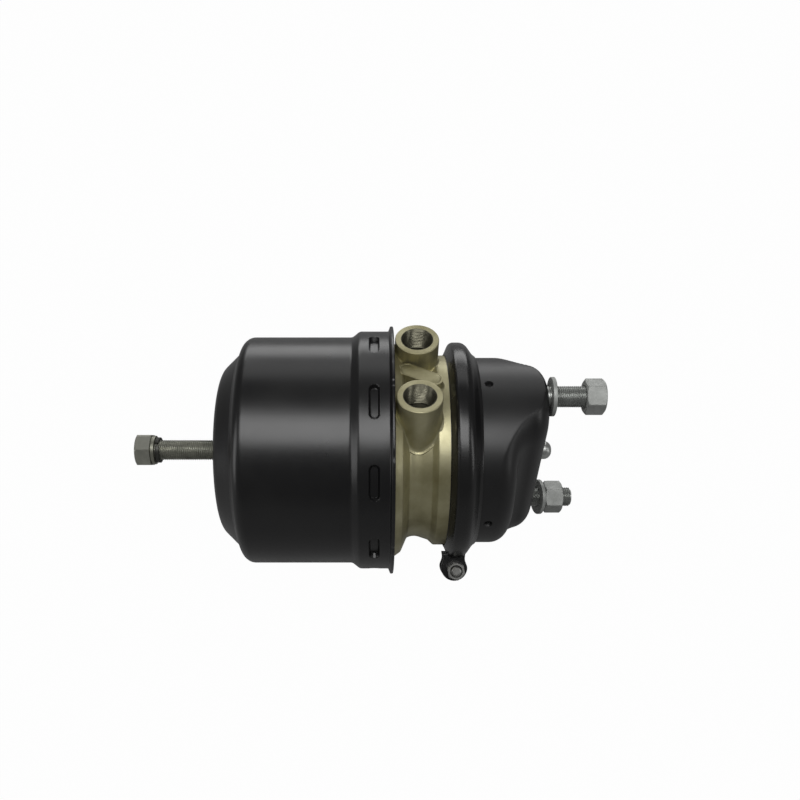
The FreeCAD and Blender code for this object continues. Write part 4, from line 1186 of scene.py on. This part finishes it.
@dataclass
class ClampRing:
    """The split clamp ring, its two lobed ears, and the bolt and nut that draw it together."""

    finishes: Finishes
    half_gap: float = 4.5
    crown: float = 85.7
    ear_station: float = -66.3
    ear_thickness: float = 4.5
    ear_foot: float = 9.0
    ear_neck: float = 8.3
    ear_middle: float = 92.0
    bevel: float = 0.8
    lobe_place: float = 93.4
    lobe: float = 10.45
    bolt_station: float = -65.3
    bolt_place: float = 95.3
    bolt_radius: float = 4.0
    bolt_pitch: float = 1.25
    bolt_flats: float = 13.0
    bolt_corner: float = 7.45
    head_height: float = 5.3
    nut_height: float = 6.8
    bolt_reach: float = 9.3

    def ring(self) -> None:
        """Build the ring as a turned section that stops at the split, with both ends closed."""
        path = rounded_path([
            (-74.9, 76.2), (-74.7, 75.9, 0.1), (-70.6, self.crown, 4.0), (-60.0, self.crown, 8.0),
            (-53.4, 76.6, 9.0), (-51.3, 75.2), (-52.6, 74.0), (-55.2, 75.6, 6.0), (-61.2, 83.3, 5.0),
            (-69.0, 83.3, 1.6), (-72.3, 75.9), (-74.9, 76.2)], 0.4, 2.0)[:-1]
        spread = math.asin(self.half_gap / self.crown)
        angles = np.linspace(spread - SPLIT_ANGLE, FULL_TURN - spread - SPLIT_ANGLE, 300)
        piece = Turning("clamp_ring_band", path, angles=angles, split=True)
        seat(piece.build(32.0), Body.CHAMBER, "black_paint", self.finishes.clamp, "clamp_ring")

    def outline(self) -> np.ndarray:
        """Return an ear's outline as (station, height): wide foot, narrower neck and a round lobe.

        Returns:
            The outline's points, one row each.
        """
        side = rounded_path([
            (-self.ear_foot, 82.0), (-self.ear_neck, 87.0, 8.0), (0.3 - self.lobe, self.lobe_place - 1.5)],
            0.4, 1.0)
        arc = np.linspace(math.pi, 0.0, 40)
        lobe = np.stack([self.lobe * np.cos(arc), self.lobe_place + self.lobe * np.sin(arc)], axis=1)
        mirrored = side[::-1] * np.array([-1.0, 1.0])
        return np.concatenate([side, lobe, mirrored])

    def ear(self, side: int) -> None:
        """Build one ear: its outline shrunk towards its middle, row by row, round both faces' edges.

        Args:
            side: 1 for the ear nearer to the viewer, -1 for the other.
        """
        outline = self.outline()
        middle = np.array([0.0, self.ear_middle])
        bevel = self.bevel
        shrink = bevel / 10.0
        start = self.half_gap + 0.05
        rows = [(0.0, start), (0.6, start), (1.0 - shrink, start)]
        arc = np.linspace(0.0, math.pi / 2.0, 5)
        rows += [(1.0 - shrink * (1.0 - math.sin(a)), start + bevel * (1.0 - math.cos(a))) for a in arc]
        end = start + self.ear_thickness
        rows += [(1.0 - shrink * (1.0 - math.cos(a)), end - bevel * (1.0 - math.sin(a))) for a in arc]
        rows += [(0.6, end), (0.0, end)]
        scale = np.array([row[0] for row in rows])[:, None, None]
        offsets = np.array([row[1] for row in rows])[:, None] * np.ones(len(outline))
        flat = middle + scale * (outline - middle)
        frame = Frame((self.ear_station, 0.0, 0.0), (1.0, 0.0, 0.0), FALLING, NEAR)
        points = frame.place(flat[..., 0], flat[..., 1], side * offsets)
        piece = Surface(f"clamp_ear_{'near' if side > 0 else 'far'}", points).build(35.0)
        seat(piece, Body.CHAMBER, "black_paint", self.finishes.clamp)

    def bolt(self) -> None:
        """Build the clamp bolt with its hexagon head, and the nut that its end stands out of."""
        place = self.bolt_place
        origin = (self.bolt_station, FALLING[1] * place, FALLING[2] * place)
        frame = Frame(origin, NEAR, (1.0, 0.0, 0.0), FALLING)
        face = self.half_gap + self.ear_thickness + 0.2
        head, end = face + self.head_height, face + self.bolt_reach
        shank, chamfer = self.bolt_radius, 0.8
        path = rounded_path([
            (-head, 0.0), (-head, self.bolt_corner), (-face, self.bolt_corner), (-face, shank),
            (end - chamfer, shank), (end, shank - chamfer), (end, 0.0)], longest=0.16)
        trim = hexagon(self.bolt_flats, -head, -face, turn=math.radians(12.0), ends=(True, False))
        cut = thread(self.bolt_pitch, 0.6, 0.0, face + 11.0)

        def shape(stations: np.ndarray, angles: np.ndarray, radii: np.ndarray) -> np.ndarray:
            """Trim the head and thread the shank."""
            threaded = cut(stations, angles, radii)
            return np.where(stations < -face + 0.01, trim(stations, angles, radii), threaded)

        piece = Turning("clamp_bolt_dressed", path, 72, frame, closed=False, displace=shape).build(22.0)
        seat(piece, Body.CHAMBER, "bright_zinc", self.finishes.zinc, "clamp_bolt")
        nut = hexagon_nut("clamp_nut_dressed", face, face + self.nut_height, self.bolt_flats,
                          self.bolt_radius + 0.06, self.bolt_pitch, frame, math.radians(20.0))
        seat(nut, Body.CHAMBER, "bright_zinc", self.finishes.zinc, "clamp_nut")

    def build(self) -> None:
        """Build the ring, the ears, the bolt and the nut."""
        self.ring()
        for side in (-1, 1):
            self.ear(side)
        self.bolt()


@dataclass
class MountingStuds:
    """The two studs that hold the chamber, with their washers and nuts."""

    finishes: Finishes
    pitch: float = 1.5
    thread_depth: float = 0.82
    radius: float = 8.0
    chamfer: float = 1.6
    head: float = 12.3
    head_face: float = -3.7
    nut_flats: float = 24.0
    washer_radius: float = 14.8
    washer_half: float = 1.5
    washer_stations: tuple[float, float] = (3.5, 10.6)
    washer_tilts: tuple[float, float] = (0.0, math.radians(11.0))

    def build(self) -> None:
        """Build both studs and what is on them."""
        sides = ("upper", "lower")
        for side in sides:
            self.stud(side)
            self.nut(side)
        for side, station, tilt in zip(sides, self.washer_stations, self.washer_tilts):
            self.washer(side, station, tilt)

    def centre(self, side: str) -> tuple[float, float]:
        """Return the Y and Z of a stud's axis, which its nut shares."""
        low, high = extent(f"{side}_stud_nut")
        return (low[1] + high[1]) / 2.0, (low[2] + high[2]) / 2.0

    def stud(self, side: str) -> None:
        """Build the stud: a square-sided head behind the wall and a shank threaded to its chamfered end.

        Args:
            side: Which stud: upper or lower.
        """
        node = f"{side}_mounting_stud"
        low, high = extent(node)
        radius, chamfer, face = self.radius, self.chamfer, self.head_face
        head = rounded_path([(low[0], 0.0), (low[0], self.head), (face, self.head), (face, radius)],
                            longest=2.0)
        shank = rounded_path([
            (face + 0.1, radius), (high[0] - chamfer, radius), (high[0], radius - chamfer * 1.2),
            (high[0], 0.0)], longest=self.pitch / 8.0)
        cut = thread(self.pitch, self.thread_depth, 0.8, high[0] + 2.0)

        def shape(stations: np.ndarray, angles: np.ndarray, radii: np.ndarray) -> np.ndarray:
            """Square the head behind the wall, and thread the shank.

            Args:
                stations: Station of each point.
                angles: Angle of each point.
                radii: Radius of each point.

            Returns:
                The new radii.
            """
            square = np.minimum(8.3 / np.maximum(np.abs(np.cos(angles)), 1e-6),
                                8.9 / np.maximum(np.abs(np.sin(angles)), 1e-6))
            threaded = cut(stations, angles, radii)
            return np.where(stations < face + 0.05, np.minimum(radii, square), threaded)

        frame = along_x(*self.centre(side))
        piece = Turning(f"{node}_threaded", np.concatenate([head, shank]), 72, frame, closed=False,
                        displace=shape).build(50.0)
        seat(piece, Body.CHAMBER, "flaked_zinc", self.finishes.stud, node)

    def washer(self, side: str, station: float, tilt: float) -> None:
        """Build a flat washer with rounded rims, tilted about the line up the picture.

        Args:
            side: Which stud: upper or lower.
            station: X of the washer's middle.
            tilt: Angle by which it leans.
        """
        node = f"{side}_stud_washer"
        across, up = self.centre(side)
        cosine, sine = math.cos(tilt), math.sin(tilt)
        axis = (cosine, sine * RISING[2], -sine * RISING[1])
        near = (sine, cosine * NEAR[1], cosine * NEAR[2])
        frame = Frame((station, across, up), axis, RISING, near)
        path = closed_ring(-self.washer_half, self.washer_half, 8.5, self.washer_radius, 0.5)
        piece = Turning(f"{node}_dressed", path, 128, frame).build()
        seat(piece, Body.CHAMBER, "flaked_zinc", self.finishes.flaked, node)

    def nut(self, side: str) -> None:
        """Build a hexagon nut with chamfered corners and a threaded bore.

        Args:
            side: Which stud: upper or lower.
        """
        node = f"{side}_stud_nut"
        low, high = extent(node)
        piece = hexagon_nut(f"{node}_dressed", low[0], high[0], self.nut_flats, self.radius + 0.06,
                            self.pitch, along_x(*self.centre(side)), SPLIT_ANGLE)
        seat(piece, Body.CHAMBER, "flaked_zinc", self.finishes.flaked, node)


@dataclass
class ReleaseBolt:
    """The bolt that winds the parking spring back, with a flat washer and a split spring washer."""

    finishes: Finishes
    pitch: float = 1.5
    radius: float = 8.0
    head_start: float = -319.6
    head_face: float = -307.5
    head_flats: float = 24.0
    head_corner: float = 13.86
    head_turn: float = math.radians(11.5)
    tip: float = -195.9
    split: float = math.radians(75.0)
    split_half: float = math.radians(9.0)

    def build(self) -> None:
        """Build the bolt and both washers."""
        self.bolt()
        flat = Turning("release_bolt_washer_dressed", closed_ring(-307.4, -304.4, 8.4, 11.5, 0.5), 128)
        seat(flat.build(), Body.RELEASE_BOLT, "flaked_zinc", self.finishes.washer, "release_bolt_washer")
        self.spring_washer()

    def bolt(self) -> None:
        """Build the head, hexagonal with a chamfered face, and the threaded shank."""
        first, face, corner = self.head_start, self.head_face, self.head_corner
        radius, tip, chamfer = self.radius, self.tip, 1.1
        path = np.concatenate([
            rounded_path([(first, 0.0), (first, corner), (face, corner), (face, radius)], longest=0.5),
            rounded_path([(face + 0.1, radius), (-236.0, radius)], longest=self.pitch / 7.0),
            rounded_path([(-235.8, radius), (tip - chamfer, radius), (tip, radius - chamfer), (tip, 0.0)],
                         longest=6.0)])
        trim = hexagon(self.head_flats, first, face, turn=self.head_turn, ends=(True, False))
        cut = thread(self.pitch, 0.8, -303.6, -236.4)

        def shape(stations: np.ndarray, angles: np.ndarray, radii: np.ndarray) -> np.ndarray:
            """Trim the head and thread the shank."""
            threaded = cut(stations, angles, radii)
            return np.where(stations < face + 0.05, trim(stations, angles, radii), threaded)

        piece = Turning("release_bolt_threaded", path, 72, closed=False, displace=shape).build(22.0)
        seat(piece, Body.RELEASE_BOLT, "flaked_zinc", self.finishes.olive, "release_bolt")

    def spring_washer(self) -> None:
        """Build the split washer: an open ring whose ends part along the axis like a coil's."""
        path = closed_ring(-303.9, -300.8, 8.5, 10.2, 0.4)
        start, gap = self.split, self.split_half
        angles = np.linspace(start + gap, start + FULL_TURN - gap, 120)

        def rise(stations: np.ndarray, angles_: np.ndarray, radii: np.ndarray) -> np.ndarray:
            """Move each section along the axis in proportion to its angle."""
            return stations + 0.8 * ((angles_ - start) / FULL_TURN - 0.5)

        piece = Turning("release_bolt_split_washer", path, angles=angles, split=True, shift=rise).build()
        seat(piece, Body.RELEASE_BOLT, "flaked_zinc", self.finishes.split,
             "release_bolt_spring_washer")


@dataclass
class PushRod:
    """The rod that pushes the caliper's lever, with a rounded end."""

    finishes: Finishes
    foot: float = -86.5
    tip: float = 12.0
    radius: float = 9.0
    neck: float = 7.25
    tip_round: float = 5.6

    def build(self) -> None:
        """Build the turned rod."""
        path = rounded_path([
            (self.foot, 0.0), (self.foot, self.radius), (-16.0, self.radius, 1.0), (-14.2, self.neck, 1.5),
            (self.tip, self.neck, self.tip_round), (self.tip, 0.0)], 0.4, 6.0)
        piece = Turning("push_rod_turned", path, 96, closed=False).build()
        seat(piece, Body.PUSH_ROD, "bright_zinc", self.finishes.rod, "push_rod")


@dataclass(frozen=True)
class Coil:
    """A conical coil spring: its piece and solid, its sizes, and the bodies that it stretches between."""

    name: str
    node: str
    ends: tuple[float, float]
    radii: tuple[float, float]
    turns: float
    wire: float
    bodies: tuple[Body, Body]
    along: tuple[float, float]


@dataclass
class SoftParts:
    """The diaphragm, the boot and the coil springs, which change length as the rod and piston move."""

    finishes: Finishes
    boot_start: float = -47.6
    boot_end: float = -3.8
    boot_skin: float = 1.2
    boot_middle: float = 12.9
    boot_fold: float = 2.1
    rib: float = 0.15
    rib_spacing: float = 3.0
    parking: Coil = Coil("parking_spring_coil", "power_spring", (-241.8, -211.9), (40.0, 73.0), 4.0, 10.8,
                         (Body.CHAMBER, Body.PISTON), (-246.0, -208.0))
    returning: Coil = Coil("return_spring_coil", "return_spring", (-84.2, -6.6), (38.0, 19.1), 6.0, 3.9,
                           (Body.PUSH_ROD, Body.CHAMBER), (-84.5, -6.0))

    def diaphragm(self) -> None:
        """Build the moulded diaphragm, a cup with a bead, faintly ribbed round its wall."""
        path = rounded_path([
            (-93.2, 0.0), (-93.2, 49.6, 7.0), (-69.4, 71.2, 1.5), (-67.0, 74.2), (-67.0, 82.2), (-63.6, 82.2),
            (-63.6, 74.2), (-66.4, 69.0, 2.0), (-89.8, 47.4, 4.0), (-89.8, 0.0)], 1.0, 4.0)

        def ribs(stations: np.ndarray, angles: np.ndarray, radii: np.ndarray) -> np.ndarray:
            """Raise shallow rings over the wall, 0.15 mm high and 3 mm apart."""
            window = smoothstep(50.0, 54.0, radii) * (1.0 - smoothstep(66.0, 69.0, radii))
            return radii - self.rib * window * (1.0 + np.sin(stations * FULL_TURN / self.rib_spacing))

        piece = Turning("diaphragm_moulded", path, 160, closed=False, displace=ribs).build()
        seat_between(piece, (Body.CHAMBER, Body.PUSH_ROD), self.finishes.rubber,
                     "diaphragm")

    def boot(self) -> None:
        """Build the pleated boot: radius between valley and crest as a cosine of the station."""
        first, last, skin = self.boot_start, self.boot_end, self.boot_skin
        stations = np.linspace(first + 5.0, last - 3.2, 80)
        folds = (stations - stations[0]) / (stations[-1] - stations[0])
        outer = self.boot_middle - self.boot_fold * np.cos(folds * 4.0 * FULL_TURN)
        body = np.stack([stations, outer], axis=1)
        cuff = np.array([[first, 9.2], [first, 10.8], [first + 4.6, 10.8]])
        flange = np.array([[last - 2.0, 11.0], [last - 2.0, 16.9], [last, 16.9], [last, 9.8]])
        inner = np.stack([stations[::-1], outer[::-1] - skin], axis=1)
        back = np.array([[first + 4.8, 9.2]])
        path = np.concatenate([cuff, body, flange, inner, back])
        piece = Turning("rod_boot_pleated", path, 96).build()
        seat(piece, Body.CHAMBER, "rubber", self.finishes.rubber, "rod_boot")
        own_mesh(piece)

    def spring(self, coil: Coil) -> None:
        """Build a coil: a circle carried along a helix whose radius runs from one end's to the other's.

        Args:
            coil: The coil's sizes, whose ends and radii are those of its centre line.
        """
        share = np.linspace(0.0, 1.0, int(coil.turns * 64))[None]
        angles = share * coil.turns * FULL_TURN
        round_wire = np.linspace(0.0, FULL_TURN, 16, endpoint=False)[:, None]
        half = coil.wire / 2.0
        station = coil.ends[0] + (coil.ends[1] - coil.ends[0]) * share + half * np.sin(round_wire)
        radius = coil.radii[0] + (coil.radii[1] - coil.radii[0]) * share + half * np.cos(round_wire)
        spread = angles + np.zeros_like(station)
        points = np.stack([station, radius * np.cos(spread), radius * np.sin(spread)], axis=-1)
        piece = Surface(coil.name, points, wrap_rows=True, wrap_columns=False, capped=True).build(60.0)
        seat_between(piece, coil.bodies, self.finishes.steel, coil.node)

    def build(self) -> None:
        """Build all of them."""
        self.diaphragm()
        self.boot()
        self.spring(self.parking)
        self.spring(self.returning)


@dataclass(frozen=True)
class Lamp:
    """A rectangular soft lamp: where it hangs and its sides in metres, and its power in watts."""

    name: str
    place: tuple[float, float, float]
    size: tuple[float, float]
    power: float


LAMPS = (
    Lamp("key", (-0.22, -0.49, 1.18), (1.15, 0.62), 10.8),
    Lamp("top", (-0.1, 1.3, 0.42), (1.3, 0.5), 5.0),
    Lamp("sky", (-0.1, 0.85, 0.95), (1.3, 0.5), 2.0),
    Lamp("left", (-1.3, -0.3, 0.3), (0.4, 1.0), 3.0),
    Lamp("right", (1.1, -0.5, 0.6), (0.3, 1.0), 2.6),
)


@dataclass
class Studio:
    """Camera, lamps, floor and world, in metres."""

    viewpoint_station: float = -0.1315
    distance: float = 0.683
    elevation: float = 48.5
    focal_pixels: float = 850.0
    frame_pixels: float = 800.0
    foot_pixel: tuple[float, float] = (372.0, 450.0)
    floor_height: float = -0.1
    floor_half: float = 6.0
    floor_grey: float = 0.18
    floor_seen: float = 0.985
    floor_mirrored: float = 0.12
    world_strength: float = 0.12
    aim: tuple[float, float, float] = (-0.13, 0.0, 0.0)

    def build(self) -> None:
        """Build all of it."""
        self.camera()
        for lamp in LAMPS:
            self.hang(lamp)
        self.floor()
        self.world()

    def camera(self) -> None:
        """Stand the camera where the photograph was taken, square to the chamber's axis."""
        data = bpy.data.cameras.new("camera")
        data.sensor_width = 36.0
        data.lens = self.focal_pixels / self.frame_pixels * data.sensor_width
        half = self.frame_pixels / 2.0
        data.shift_x = (half - self.foot_pixel[0]) / self.frame_pixels
        data.shift_y = (self.foot_pixel[1] - half) / self.frame_pixels
        data.clip_start = 0.01
        camera = bpy.data.objects.new("camera", data)
        tilt = math.radians(self.elevation)
        camera.location = (self.viewpoint_station, -self.distance * math.cos(tilt),
                           self.distance * math.sin(tilt))
        camera.rotation_euler = (math.pi / 2.0 - tilt, 0.0, 0.0)
        bpy.context.scene.collection.objects.link(camera)
        bpy.context.scene.camera = camera

    def hang(self, lamp: Lamp) -> None:
        """Hang one lamp, which faces the middle of the chamber.

        Args:
            lamp: The lamp's place, sides and power.
        """
        data = bpy.data.lights.new(lamp.name, "AREA")
        data.shape = "RECTANGLE"
        data.size, data.size_y = lamp.size
        data.energy = lamp.power
        hung = bpy.data.objects.new(lamp.name, data)
        hung.location = lamp.place
        direction = np.array(self.aim) - np.array(lamp.place)
        tilt = math.atan2(math.hypot(direction[0], direction[1]), -direction[2])
        turn = math.atan2(direction[0], -direction[1]) + math.pi
        hung.rotation_euler = (tilt, 0.0, turn)
        bpy.context.scene.collection.objects.link(hung)

    def floor(self) -> None:
        """Lay a pale floor that shows white and keeps a faint shadow."""
        sides = (-self.floor_half, self.floor_half)
        corners = [(station, across, self.floor_height) for across in sides for station in sides]
        mesh = bpy.data.meshes.new("floor")
        mesh.from_pydata(corners, [], [[0, 1, 3, 2]])
        floor = bpy.data.objects.new("floor", mesh)
        bpy.context.scene.collection.objects.link(floor)
        graph = Graph("studio_floor")
        seen, mirrored, crossed = (graph.node("ShaderNodeLightPath", {}, {}, f"Is {kind} Ray")
                                   for kind in ("Camera", "Glossy", "Transmission"))
        grey = (self.floor_grey, self.floor_grey, self.floor_grey, 1.0)
        matt = graph.node("ShaderNodeBsdfDiffuse", {}, {"Color": grey})
        glow = graph.node("ShaderNodeEmission", {}, {"Color": (1.0, 1.0, 1.0, 1.0), "Strength": 1.0})
        share = (seen + crossed) * self.floor_seen + mirrored * self.floor_mirrored
        blend = graph.node("ShaderNodeMixShader", {}, {0: share, 1: matt, 2: glow})
        graph.tree.links.new(blend.socket, graph.output.inputs["Surface"])
        mesh.materials.append(graph.material)

    def world(self) -> None:
        """Fill the room with an even dim light that the camera sees as white."""
        world = bpy.data.worlds.new("studio")
        bpy.context.scene.world = world
        world.use_nodes = True
        tree = world.node_tree
        background = tree.nodes["Background"]
        background.inputs["Color"].default_value = (1.0, 1.0, 1.0, 1.0)
        path = tree.nodes.new("ShaderNodeLightPath")
        strength = tree.nodes.new("ShaderNodeMapRange")
        strength.inputs["To Min"].default_value = self.world_strength
        tree.links.new(path.outputs["Is Camera Ray"], strength.inputs["Value"])
        tree.links.new(strength.outputs["Result"], background.inputs["Strength"])


# Solids whose shapes stay as packed, each with the finish that it is given.
PLAIN_NODES = {
    "flange_sealing_ring": "rubber", "tube_guide_bush": "plastic", "tube_seals": "rubber",
    "release_nut": "zinc", "release_dust_ring": "plastic", "boot_retaining_ring": "zinc",
    "parking_piston": "cast", "piston_seal": "rubber", "piston_guide_ring": "plastic",
    "push_tube": "zinc", "push_tube_end_pad": "plastic", "release_bolt_catch": "zinc",
    "push_plate": "zinc",
}


def main() -> None:
    """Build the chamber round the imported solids, then the studio."""
    logging.basicConfig(level=logging.INFO, format="%(name)s: %(message)s")
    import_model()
    bpy.context.scene.view_settings.view_transform = "Standard"
    finishes = Finishes()
    for node, finish in PLAIN_NODES.items():
        dress(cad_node(node), getattr(finishes, finish))
        LOG.info("%s keeps its solid's shape", node)
    for assembly in (SpringHousing, CentreFlange, ServiceHousing, ClampRing, MountingStuds,
                     ReleaseBolt, PushRod, SoftParts):
        assembly(finishes).build()
    Studio().build()


if __name__ == "__main__":
    main()
